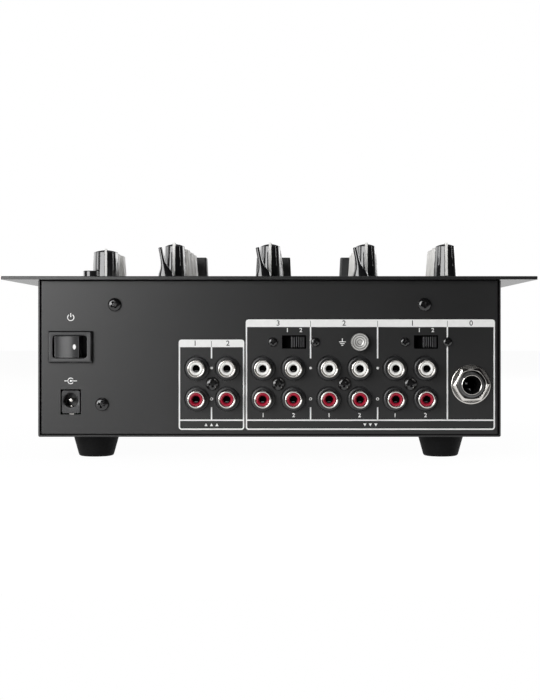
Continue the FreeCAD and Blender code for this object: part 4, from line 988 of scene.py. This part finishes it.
class MIXER_OT_add_ground_screw(bpy.types.Operator):
    """Add the ground terminal's thumb screw: a turned head whose side is cut by fine knurls"""

    bl_idname = "mixer.add_ground_screw"
    bl_label = "Add ground screw"

    def execute(self, context):
        low, high = box("ground_screw")
        middle, half = extent("ground_screw")
        x, z = middle[[0, 2]]
        head = high[1] - low[1] - GROUND_STEM
        turn = turns(240)
        knurl = 0.16 * np.abs(np.sin(turn * 20))
        rise = [0.0, 0.45, 0.5, head - 0.5, head - 0.45, head]
        base = half[0] - np.array([0.5, 0.05, 0.0, 0.0, 0.05, 0.45])
        cut = np.array([0.0, 0.6, 1.0, 1.0, 0.6, 0.0])
        side = base[:, None] - knurl[None, :] * cut[:, None]
        stem = np.array([[0.0], [GROUND_STEM_R], [GROUND_STEM_R]])
        rings = np.array([[3.6], [3.45], [1.3], [1.1], [0.9], [0.0]])
        ring_z = head + np.array([0.0, -0.12, -0.12, -0.22, -0.22, -0.22])
        r = np.concatenate([np.repeat(stem, len(turn), 1), side, np.repeat(rings, len(turn), 1)])
        h = np.concatenate([[-GROUND_STEM, -GROUND_STEM, 0.0], rise, ring_z])
        screw = moved(facing_rear(round_shell(r, h[:, None], turn)), (x, high[1] - head, z))
        FINISHES["turned"] = turned_metal("turned_zinc", (0.46, 0.455, 0.44), (x, z), metallic=0.45)
        add_piece("ground_screw_knurled", [(screw, "turned")], "ground_screw", ["ground_screw"])
        return {"FINISHED"}


def nut_shell(across, thick, low, hole, turned):
    """Hexagonal nut: a front that swells from its hole and falls along a parabola to the hexagon's edge.

    The hexagon's edge is half its width over the cosine of the turn from the nearest flat's middle.
    """
    turn = turns(180)
    flat = np.mod(turn - math.radians(turned), np.pi / 3) - np.pi / 6
    hexagon = across / 2 / np.cos(flat)
    share = np.linspace(0, 1, 12)
    crest = 0.25
    mouth = hole + 0.5
    top = low + thick
    outer = 0.32 * ((share - crest) / (1 - crest)) ** 2
    inner = 0.35 * ((crest - share) / crest) ** 2
    swell = np.where(share > crest, outer, inner)
    front = mouth + (hexagon - mouth)[None, :] * share[:, None]
    inside = np.full((2, len(turn)), hole)
    r = np.concatenate([inside[:1], hexagon[None, :], front[::-1], inside])
    h = np.concatenate([[low, low], (top - swell)[::-1], [top - 0.9, low]])
    return round_shell(r, h[:, None], turn)


class MIXER_OT_add_phone_jacks(bpy.types.Operator):
    """Add the microphone and headphone sockets: body, washer, nut, threaded bush and bright mouth ring"""

    bl_idname = "mixer.add_phone_jacks"
    bl_label = "Add phone jacks"

    def execute(self, context):
        sites = [(facing_rear, place_of(MOUNTS["mic_jack"]), PANEL_Y),
                 (facing_front, place_of(MOUNTS["headphone_jack"]), FRONT_Y)]

        def both(*shells):
            """Shells at the rear and at the front socket."""
            return joined([moved(turn(shell), (at[0], face, at[2]))
                           for turn, at, face in sites for shell in shells])

        loop = polar_square(8.0, 8.0, 14.0)
        hole = polar_square(3.55, 3.55, 2.0)
        body = capped([loop, loop, hole, hole], [PHONE_END, PANEL_BACK, PANEL_BACK, PHONE_BORE_END])
        loop = rounded_loop(0.8, 0.55, 0.25, 4)
        leaf = capped([loop, loop, loop * 0.85, loop * 0.5], [-12.0, -0.4, 0.1, 0.4], peak=0.1)
        leaves = repeated(leaf, [(2.2, -0.5, 0), (0.3, 2.6, -2.0)])
        # The bore lining is the jack's black plastic, made near-black and unreflecting as painted shade deep in
        # the socket.
        parts = [(both(body), "plastic"), (both(lathe(BUSH_PROFILE, 96)), "thread"),
                 (both(lathe(MOUTH_PROFILE, 96)), "nickel"), (both(lathe(BORE_PROFILE, 96)), "dark"),
                 (both(leaves), "zinc")]
        add_piece("phone_jack_bushes", parts, CHASSIS, ["phone_jacks"])
        nut = nut_shell(across=14.9, thick=2.8, low=0.8, hole=6.1, turned=2.0)
        rings = both(lathe(WASHER_PROFILE, 96), nut)
        add_piece("jack_nuts_and_washers", [(rings, "nickel")], CHASSIS, ["phone_jack_nuts"])
        return {"FINISHED"}


def rocker_height(u):
    """Height of the rocker's dished face: a parabola that meets its two ends."""
    return ROCKER_RISE - ROCKER_DISH * (1 - (u / ROCKER_HALF_LENGTH) ** 2)


class MIXER_OT_add_power_switch(bpy.types.Operator):
    """Add the power switch: a bevelled bezel round a well, a dished rocker and its white dot"""

    bl_idname = "mixer.add_power_switch"
    bl_label = "Add power switch"

    def execute(self, context):
        (x, y, z), (half_w, depth, half_h) = extent("power_switch_frame")
        proud = y + depth - PANEL_Y
        side_w = half_w - 0.65
        side_h = half_h - 0.65
        sections = [(8.1, 5.4, 1.5, proud - 11.0), (8.1, 5.4, 1.5, proud - 0.35),
                    (8.2, 5.5, 1.6, proud - 0.08), (8.4, 5.7, 1.8, proud),
                    (side_w - 0.1, side_h - 0.1, 0.5, proud), (side_w, side_h, 0.5, proud - 0.1),
                    (side_w, side_h, 0.5, 0.0), (9.2, 6.4, 0.6, 0.0), (9.2, 6.4, 0.6, proud - 12.0)]
        bezel = capped([rounded_loop(w, h, r) for w, h, r, height in sections],
                       [section[-1] for section in sections])
        sections = [(0.8, 0.5, 0.0), (0.8, 0.5, proud - 0.03), (0.7, 0.5, proud - 0.05),
                    (0.15, 0.6, proud - 0.7), (0.0, 0.7, proud - 0.95), (0.0, 0.7, 0.0), (0.8, 0.5, 0.0)]
        rim = stacked([rounded_loop(half_w - inset, half_h - inset, r) for inset, r, height in sections],
                      [section[-1] for section in sections])
        parts = [(on_panel(bezel, x, z), "plastic"), (on_panel(rim, x, z), "gloss")]
        add_piece("power_bezel", parts, CHASSIS, ["power_switch_frame"])

        joint = JOINTS["power_rocker"]
        u = np.linspace(-ROCKER_HALF_LENGTH, ROCKER_HALF_LENGTH, 41)
        face = np.column_stack([u, rocker_height(u)])
        face[[0, -1], 1] -= 0.08
        loop = np.concatenate([face, [[6.2, 6.3], [4.6, -1.5], [-4.6, -1.5], [-6.2, 6.3]]])
        insets = (0.05, 0.015, 0.0, 0.0, 0.015, 0.05)
        levels = ROCKER_HALF_WIDTH - np.array([0.0, 0.12, 0.4])
        inward = loop.mean(axis=0) - loop
        rocker = capped([loop + inward * inset for inset in insets], [*-levels, *levels[::-1]])
        ray = rays(40) * [0.85, 1.2]
        share = np.array([0.0, 1.0, 1.0, 0.0])[:, None]
        dot_u = ROCKER_DOT_U + share * ray[:, 0]
        dot_v = rocker_height(dot_u) + np.array([-0.05, -0.05, 0.03, 0.03])[:, None]
        dot = outward(surface(np.stack([dot_u, dot_v, share * ray[:, 1]], axis=-1), close_cols=True))
        parts = [(moved(spun(shell, -joint["range_deg"][1] / 2), place_of(joint)), key)
                 for shell, key in ((rocker, "plastic"), (dot, "ink"))]
        add_piece("power_rocker_moulded", parts, "power_rocker", ["power_rocker"])
        return {"FINISHED"}


class MIXER_OT_add_power_inlet(bpy.types.Operator):
    """Add the power inlet: a flush face from a rounded square to a round bore, its pin and contacts"""

    bl_idname = "mixer.add_power_inlet"
    bl_label = "Add power inlet"

    def execute(self, context):
        (x, y, z), half = extent("power_inlet")
        back = y - half[1] - PANEL_Y
        hub = np.array([0, z - place_of(MOUNTS["power_inlet_pin"])[2]])
        outer = polar_square(half[0], half[2], 16.0)
        bores = [hub + polar_square(r, r, 2.0) for r in (3.72, 3.5, 3.36, 3.3, 3.3)]
        face = capped([outer, outer, outer * 0.975, *bores], [back, -0.3, -0.1, -0.1, -0.2, -0.4, -0.8, -9.0])
        strip = rounded_loop(0.8, 0.18, 0.12, 4)
        spring = capped([strip, strip * 0.8], [-8.9, -2.2], peak=0.2)
        tab = capped([rounded_loop(1.1, 0.19, 0.1, 4)] * 2, [-3.0, -0.25])
        metal = joined([moved(lathe(PIN_PROFILE, 32), (*hub, 0)), moved(spring, (-0.3, hub[1] + 2.9, 0)),
                        moved(tab, (-0.4, half[2] + 0.24, 0))])
        parts = [(on_panel(face, x, z), "plastic"), (on_panel(metal, x, z), "nickel")]
        add_piece("power_inlet_face", parts, CHASSIS, ["power_inlet"])
        return {"FINISHED"}


# Print: a flat drawing has its right along +X and its height in ink along +Z

FRAME_FOOT = 13.7
RULE_Z = 18.3
OUTPUT_FRAME = (-43.2, -12.0, 56.65)
INPUT_FRAME = (-11.3, 107.3, 66.25)
OUTPUT_DIVIDER = -27.6
INPUT_DIVIDERS = (19.55, 51.45)
LAST_DIVIDER = 84.65
OUTPUT_HEADER = 53.1
INPUT_HEADER = 62.7
HEADER_EDGE = 0.3
FIELD_GAP = 0.1
UPPER_DIVIDER_FOOT = 47.7
LOWER_DIVIDER_TOP = 24.5
DOT_Z = 43.1
RING_Z = 28.4
SOCKET_FIGURE_Z = 20.6
SELECTOR_FIGURE_X = 3.2
SELECTOR_FIGURE_Z = 61.1
WEDGE = np.array([[-0.75, -0.65], [0.75, -0.65], [0.0, 0.75]])
WEDGE_Z = 16.1
WEDGE_STEP = 2.6
INPUT_WEDGES_X = 48.0
SMALL_FIGURE = 0.8
GROUND_SIGN_GAP = 8.2
POWER_SIGN_Z = 67.2
INLET_SIGN_Z = 37.0
TICKS = 11
TICK_HALF = 0.16
DIAL_GAP = 1.1
DIAL_FIGURE = 1.5
KNOB_SWEEP = 150
CUE_FIGURE = 3.0
CUE_FIGURE_DROP = 9.0
METER_FRAME_GAP = 1.2
FADER_TICK_GAP = 11.5
BUTTON_RING = (4.9, 0.35, 0, 360)


def slab(loop, thick):
    """A thin plate over a convex loop, its rim standing on the surface."""
    return capped([loop] * 2, [0.0, thick])


def ink_dot(radius, thick):
    """A printed dot."""
    return slab(rounded_loop(radius, radius, radius - 0.01), thick)


def frame_line(half_w, half_h, radius, line, thick):
    """A line round a rounded rectangle: the outer loop and the loop inset by the line's width, raised."""
    outer = rounded_loop(half_w, half_h, radius)
    inner = rounded_loop(half_w - line, half_h - line, max(radius - line, 0.05))
    return stacked([outer, outer, inner, inner, outer], [0.0, thick, thick, 0.0, 0.0])


def arc_line(radius, line, start, end, thick, steps=32):
    """A line along a circle's arc, between two turns in degrees."""
    turn = np.radians(np.linspace(start, end, steps))
    r = radius + np.array([[line], [line], [-line], [-line]]) / 2
    points = polar_grid(r, np.array([[0.0], [thick], [thick], [0.0]]), turn)
    if end - start < 360:
        middle = np.tile(points.mean(axis=0), (4, 1, 1))
        points = np.concatenate([middle[:, :1], points, middle[:, -1:]], axis=1)
    return outward(surface(points, close_rows=True))


def bar(x0, x1, y0, y1, thick):
    """A printed bar between two corners."""
    corner = min(0.05, (x1 - x0) / 2.01, (y1 - y0) / 2.01)
    loop = rounded_loop((x1 - x0) / 2, (y1 - y0) / 2, corner, 5)
    return moved(slab(loop, thick), ((x0 + x1) / 2, (y0 + y1) / 2, 0))


def figure(text, size, thick):
    """Plain figures as a thin closed mesh, centred, of a given height of capitals."""
    curve = bpy.data.curves.new("figure", "FONT")
    curve.body = text
    curve.align_x = "CENTER"
    curve.align_y = "CENTER"
    curve.size = size * 1.4
    curve.offset = size * 0.018
    curve.resolution_u = 4
    curve.extrude = thick / 2
    holder = bpy.data.objects.new("figure", curve)
    mesh = bpy.data.meshes.new_from_object(holder)
    mesh.calc_loop_triangles()
    points = np.zeros(len(mesh.vertices) * 3)
    mesh.vertices.foreach_get("co", points)
    corners = np.zeros(len(mesh.loop_triangles) * 3, np.int32)
    mesh.loop_triangles.foreach_get("vertices", corners)
    bpy.data.objects.remove(holder)
    bpy.data.meshes.remove(mesh)
    bpy.data.curves.remove(curve)
    triangles = corners.reshape(-1, 3)
    quads = np.column_stack([triangles, triangles[:, 2]])
    return moved((points.reshape(-1, 3), quads), (0, 0, thick / 2))


def on_rear(shell):
    """A flat drawing put on the jack panel: its right is the panel's right as seen from behind the mixer."""
    x, y, z = shell[0].T
    return np.column_stack([-x, PANEL_Y + z, y]), shell[1]


class MIXER_OT_print_panel(bpy.types.Operator):
    """Print the jack panel: frames, header bars with plain figures, dividers and simple marks"""

    bl_idname = "mixer.print_panel"
    bl_label = "Print jack panel"

    def execute(self, context):
        size = context.scene.mixer_print
        t = size.thickness
        thin = t * 0.8
        half = size.line / 2
        small = size.figure * SMALL_FIGURE
        white = []
        black = []

        def put(shell, x, z):
            """White print at a place."""
            white.append(moved(shell, (x, z, 0)))

        def upright(x, z0, z1):
            """A dividing line between two heights."""
            white.append(bar(x - half, x + half, z0, z1, thin))

        def framed(x0, x1, z1, dividers, labels):
            """A frame with a rule at its foot, and a header bar with a black figure over each field."""
            line = frame_line((x1 - x0) / 2, (z1 - FRAME_FOOT) / 2, size.corner, size.line, t)
            put(line, (x0 + x1) / 2, (FRAME_FOOT + z1) / 2)
            edges = [x0, *dividers, x1]
            for k, (a, b) in enumerate(zip(edges, edges[1:])):
                left = a + (HEADER_EDGE if k == 0 else FIELD_GAP)
                right = b - (HEADER_EDGE if k == len(dividers) else FIELD_GAP)
                white.append(bar(left, right, z1 - size.bar, z1 - HEADER_EDGE, t * 0.9))
                black.append(moved(figure(labels[k], size.figure, t * 1.6),
                                   ((a + b) / 2, z1 - size.bar / 2 - 0.05, 0)))
            white.append(bar(x0 + HEADER_EDGE, x1 - HEADER_EDGE, RULE_Z - half, RULE_Z + half, thin))

        framed(*OUTPUT_FRAME, [OUTPUT_DIVIDER], "12")
        framed(*INPUT_FRAME, [*INPUT_DIVIDERS, LAST_DIVIDER], "3210")
        for x, top in ((OUTPUT_DIVIDER, OUTPUT_HEADER), *[(x, INPUT_HEADER) for x in INPUT_DIVIDERS]):
            upright(x, UPPER_DIVIDER_FOOT, top)
            upright(x, RULE_Z, LOWER_DIVIDER_TOP)
            put(ink_dot(0.62, t), x, DOT_Z)
            put(arc_line(0.55, 0.32, 0, 360, t), x, RING_Z)
        upright(LAST_DIVIDER, RULE_Z, INPUT_HEADER)
        for k, x in enumerate(-socket_columns()[::-1][2:]):
            put(figure(str(k % 2 + 1), small, t), x, SOCKET_FIGURE_Z)
        for x, way in ((OUTPUT_DIVIDER, 1), (INPUT_WEDGES_X, -1)):
            for side in (-1, 0, 1):
                put(slab(WEDGE * [1, way], t), x + side * WEDGE_STEP, WEDGE_Z)
        for name in SELECTORS:
            for side, text in zip(BOTH_SIDES, "12"):
                x = side * SELECTOR_FIGURE_X - selector_middle(name)[0]
                put(figure(text, small, t), x, SELECTOR_FIGURE_Z)
        x, z = extent("ground_screw")[0][[0, 2]] * [-1, 1] - [GROUND_SIGN_GAP, 0]
        for k, reach in enumerate((1.6, 1.05, 0.5)):
            white.append(bar(x - reach, x + reach, z - 0.1 - 0.8 * k, z + 0.3 - 0.8 * k, t))
        white.append(bar(x - 0.2, x + 0.2, z + 0.3, z + 1.7, t))
        x = -extent("power_switch_frame")[0][0]
        put(arc_line(1.5, 0.42, 125, 415, t), x, POWER_SIGN_Z)
        white.append(bar(x - 0.21, x + 0.21, POWER_SIGN_Z + 0.2, POWER_SIGN_Z + 2.1, t))
        put(arc_line(1.35, 0.4, 35, 325, t), x, INLET_SIGN_Z)
        put(ink_dot(0.5, t), x, INLET_SIGN_Z)
        for left, right in ((0.5, 3.0), (-3.0, -1.35)):
            white.append(bar(x + left, x + right, INLET_SIGN_Z - 0.2, INLET_SIGN_Z + 0.2, t))
        parts = [(on_rear(joined(white)), "ink"), (on_rear(joined(black)), "black_ink")]
        add_piece("jack_panel_print", parts, CHASSIS)
        return {"FINISHED"}


class MIXER_OT_print_plate(bpy.types.Operator):
    """Print the plate: dial ticks with plain figures round the knobs, and scales along the faders"""

    bl_idname = "mixer.print_plate"
    bl_label = "Print plate"

    def execute(self, context):
        t = context.scene.mixer_print.thickness
        white = []

        def put(shell, x, y):
            """White print at a place."""
            white.append(moved(shell, (x, y, PLATE_TOP)))

        for name in moving("_knob"):
            x, y = place_of(JOINTS[name])[:2]
            radius = extent(name)[1][0] + DIAL_GAP
            for k in range(TICKS):
                mark = bar(-TICK_HALF, TICK_HALF, radius, radius + (1.5 if k % 5 == 0 else 0.9), t)
                put(spun(mark, KNOB_SWEEP - 2 * KNOB_SWEEP / (TICKS - 1) * k), x, y)
            for text, turn in (("0", KNOB_SWEEP), ("5", 0), ("10", -KNOB_SWEEP)):
                a = math.radians(90 + turn)
                reach = radius + (2.9 if turn else 2.35)
                put(figure(text, DIAL_FIGURE, t), x + reach * math.cos(a), y + reach * math.sin(a))
        for name in moving("fader"):
            axis = np.array(JOINTS[name]["axis"])[:2]
            across = np.abs(axis[::-1])
            for k, s in enumerate(np.linspace(*JOINTS[name]["range_m"], TICKS) / MM):
                long = 1.3 if k % 5 == 0 else 0.8
                half = np.where(across > 0.5, long, TICK_HALF)
                for side in BOTH_SIDES:
                    place = extent(name)[0][:2] + axis * s + across * side * (FADER_TICK_GAP + long)
                    put(bar(-half[0], half[0], -half[1], half[1], t), *place)
        for k in (1, 2, 3):
            x, y = extent(f"channel_{k}_cue_button")[0][:2]
            put(arc_line(*BUTTON_RING, t, 64), x, y)
            put(figure(str(k), CUE_FIGURE, t), x, y - CUE_FIGURE_DROP)
        put(arc_line(*BUTTON_RING, t, 64), *extent("mono_button")[0][:2])
        middle, half = extent("level_meter")
        half_w, half_h = half[:2] + METER_FRAME_GAP
        put(frame_line(half_w, half_h, 0.8, 0.35, t), *middle[:2])
        add_piece("plate_print", [(joined(white), "ink")], CHASSIS)
        return {"FINISHED"}


# Stage

FLOOR = [[[-4, -4, 0], [4, -4, 0]], [[-4, 0.5, 0], [4, 0.5, 0]]]
FLOOR_GLOW = 1.04
FLOOR_GLOW_SHARE = 0.93
ROOM_SHINE = 0.7
LAMP_TARGET = (0.0, 0.08, 0.07)
RIGHT_RIM_SHARE = 1.6


def softbox(name, place, power, width, height):
    """A rectangular area lamp that looks at the mixer."""
    data = bpy.data.lights.new(name, "AREA")
    data.shape = "RECTANGLE"
    data.size = width
    data.size_y = height
    data.energy = power
    lamp = bpy.data.objects.new(name, data)
    lamp.location = place
    bpy.context.scene.collection.objects.link(lamp)
    lamp.rotation_mode = "QUATERNION"
    lamp.rotation_quaternion = (lamp.location - Vector(LAMP_TARGET)).to_track_quat("Z", "Y")


def paper(name):
    """White paper that glows in the camera's and the mirrors' view, so that it stays even there."""
    material = finish(name, (0.9, 0.9, 0.9), vary=0.01, blotch=3.0, rough=(0.7, 0.8), grain_scale=400.0)
    tree = material.node_tree
    ray = tree.nodes.new("ShaderNodeLightPath").outputs
    seen = reckoned(tree, "MAXIMUM", ray["Is Camera Ray"], ray["Is Glossy Ray"])
    share = reckoned(tree, "MULTIPLY", seen, FLOOR_GLOW_SHARE)
    glow = node(tree, "ShaderNodeEmission", Strength=FLOOR_GLOW)
    mix = tree.nodes.new("ShaderNodeMixShader")
    for socket, value in zip(mix.inputs, (share, shader_of(tree).outputs[0], glow.outputs[0])):
        give(tree, socket, value)
    feed(tree, tree.nodes["Material Output"], Surface=mix.outputs[0])
    return material


def smooth_step(tree, value, start, end, low, high):
    """A value carried smoothly from one number to another between two limits."""
    made = node(tree, "ShaderNodeMapRange", Value=value, From_Min=start, From_Max=end,
                To_Min=low, To_Max=high)
    made.interpolation_type = "SMOOTHSTEP"
    return made.outputs["Result"]


def light_room(world, stage):
    """A white room in the camera's view, whose light comes low from the player's side."""
    world.use_nodes = True
    tree = world.node_tree
    ray = tree.nodes.new("ShaderNodeLightPath").outputs
    where = tree.nodes.new("ShaderNodeTexCoord").outputs["Generated"]
    heading = node(tree, "ShaderNodeSeparateXYZ", Vector=where).outputs
    behind = smooth_step(tree, heading["Y"], -0.4, 0.15, 1.0, stage.front)
    above = smooth_step(tree, heading["Z"], 0.02, 0.2, 1.0, 0.08)
    shine = node(tree, "ShaderNodeMapRange", Value=ray["Is Glossy Ray"], To_Min=stage.ambient,
                 To_Max=ROOM_SHINE)
    light = reckoned(tree, "MULTIPLY", reckoned(tree, "MULTIPLY", behind, above), shine.outputs["Result"])
    seen = reckoned(tree, "MAXIMUM", ray["Is Camera Ray"], ray["Is Transmission Ray"])
    feed(tree, tree.nodes["Background"], Color=(1, 1, 1, 1), Strength=reckoned(tree, "MAXIMUM", light, seen))


class MIXER_OT_set_stage(bpy.types.Operator):
    """Set the floor, the room's light, the lamps and the camera"""

    bl_idname = "mixer.set_stage"
    bl_label = "Set stage"

    def execute(self, context):
        scene = context.scene
        stage = scene.mixer_stage
        points, quads = surface(np.array(FLOOR, float))
        mesh = bpy.data.meshes.new("studio_floor")
        mesh.from_pydata(points.tolist(), [], quads.tolist())
        mesh.materials.append(paper("studio_paper"))
        floor = bpy.data.objects.new("studio_floor", mesh)
        scene.collection.objects.link(floor)

        scene.world = bpy.data.worlds.new("studio_room")
        light_room(scene.world, stage)
        softbox("key_softbox", (0.605, 1.077, 0.31), stage.key, 0.85, 0.62)
        softbox("left_rim_softbox", (1.015, -0.46, 0.3), stage.rims, 1.15, 0.55)
        softbox("right_rim_softbox", (-0.88, -0.66, 0.3), stage.rims * RIGHT_RIM_SHARE, 0.9, 0.55)
        softbox("top_softbox", (0.0, 0.0, 1.3), stage.top, 1.2, 1.0)

        data = bpy.data.cameras.new("rear_camera")
        data.lens = stage.lens
        data.sensor_width = 36.0
        data.shift_x, data.shift_y = stage.shift
        camera = bpy.data.objects.new("rear_camera", data)
        camera.location = stage.eye
        camera.rotation_euler = (math.pi / 2, 0, math.pi)
        scene.collection.objects.link(camera)
        scene.camera = camera
        scene.view_settings.view_transform = "Standard"
        return {"FINISHED"}


class MIXER_PT_dressing(bpy.types.Panel):
    """Lists the mixer's pieces and settings"""

    bl_idname = "MIXER_PT_dressing"
    bl_label = "Mixer dressing"
    bl_space_type = "VIEW_3D"
    bl_region_type = "UI"
    bl_category = "Mixer"

    def draw(self, context):
        for operator in OPERATORS:
            self.layout.operator(operator.bl_idname)
        for group in SETTINGS:
            settings = getattr(context.scene, group)
            for key in settings.__class__.__annotations__:
                self.layout.prop(settings, key)


SETTINGS = {
    "mixer_finishes": MIXER_PG_finishes,
    "mixer_knobs": MIXER_PG_knobs,
    "mixer_print": MIXER_PG_print,
    "mixer_stage": MIXER_PG_stage,
}

OPERATORS = [
    MIXER_OT_paint_case,
    MIXER_OT_add_feet,
    MIXER_OT_add_knobs,
    MIXER_OT_add_levers,
    MIXER_OT_add_fader_caps,
    MIXER_OT_add_buttons,
    MIXER_OT_add_meter,
    MIXER_OT_add_phono_sockets,
    MIXER_OT_add_screws,
    MIXER_OT_add_selectors,
    MIXER_OT_add_ground_screw,
    MIXER_OT_add_phone_jacks,
    MIXER_OT_add_power_switch,
    MIXER_OT_add_power_inlet,
    MIXER_OT_print_panel,
    MIXER_OT_print_plate,
    MIXER_OT_set_stage,
]


def register():
    """Register the settings, operators and panel."""
    for group, settings in SETTINGS.items():
        bpy.utils.register_class(settings)
        setattr(bpy.types.Scene, group, PointerProperty(type=settings))
    for operator in OPERATORS:
        bpy.utils.register_class(operator)
    bpy.utils.register_class(MIXER_PT_dressing)


def unregister():
    """Take the panel, operators and settings out again."""
    bpy.utils.unregister_class(MIXER_PT_dressing)
    for operator in reversed(OPERATORS):
        bpy.utils.unregister_class(operator)
    for group, settings in SETTINGS.items():
        delattr(bpy.types.Scene, group)
        bpy.utils.unregister_class(settings)


def main():
    """Register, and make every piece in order."""
    register()
    for operator in OPERATORS:
        family, action = operator.bl_idname.split(".")
        getattr(getattr(bpy.ops, family), action)()


if __name__ == "__main__":
    main()
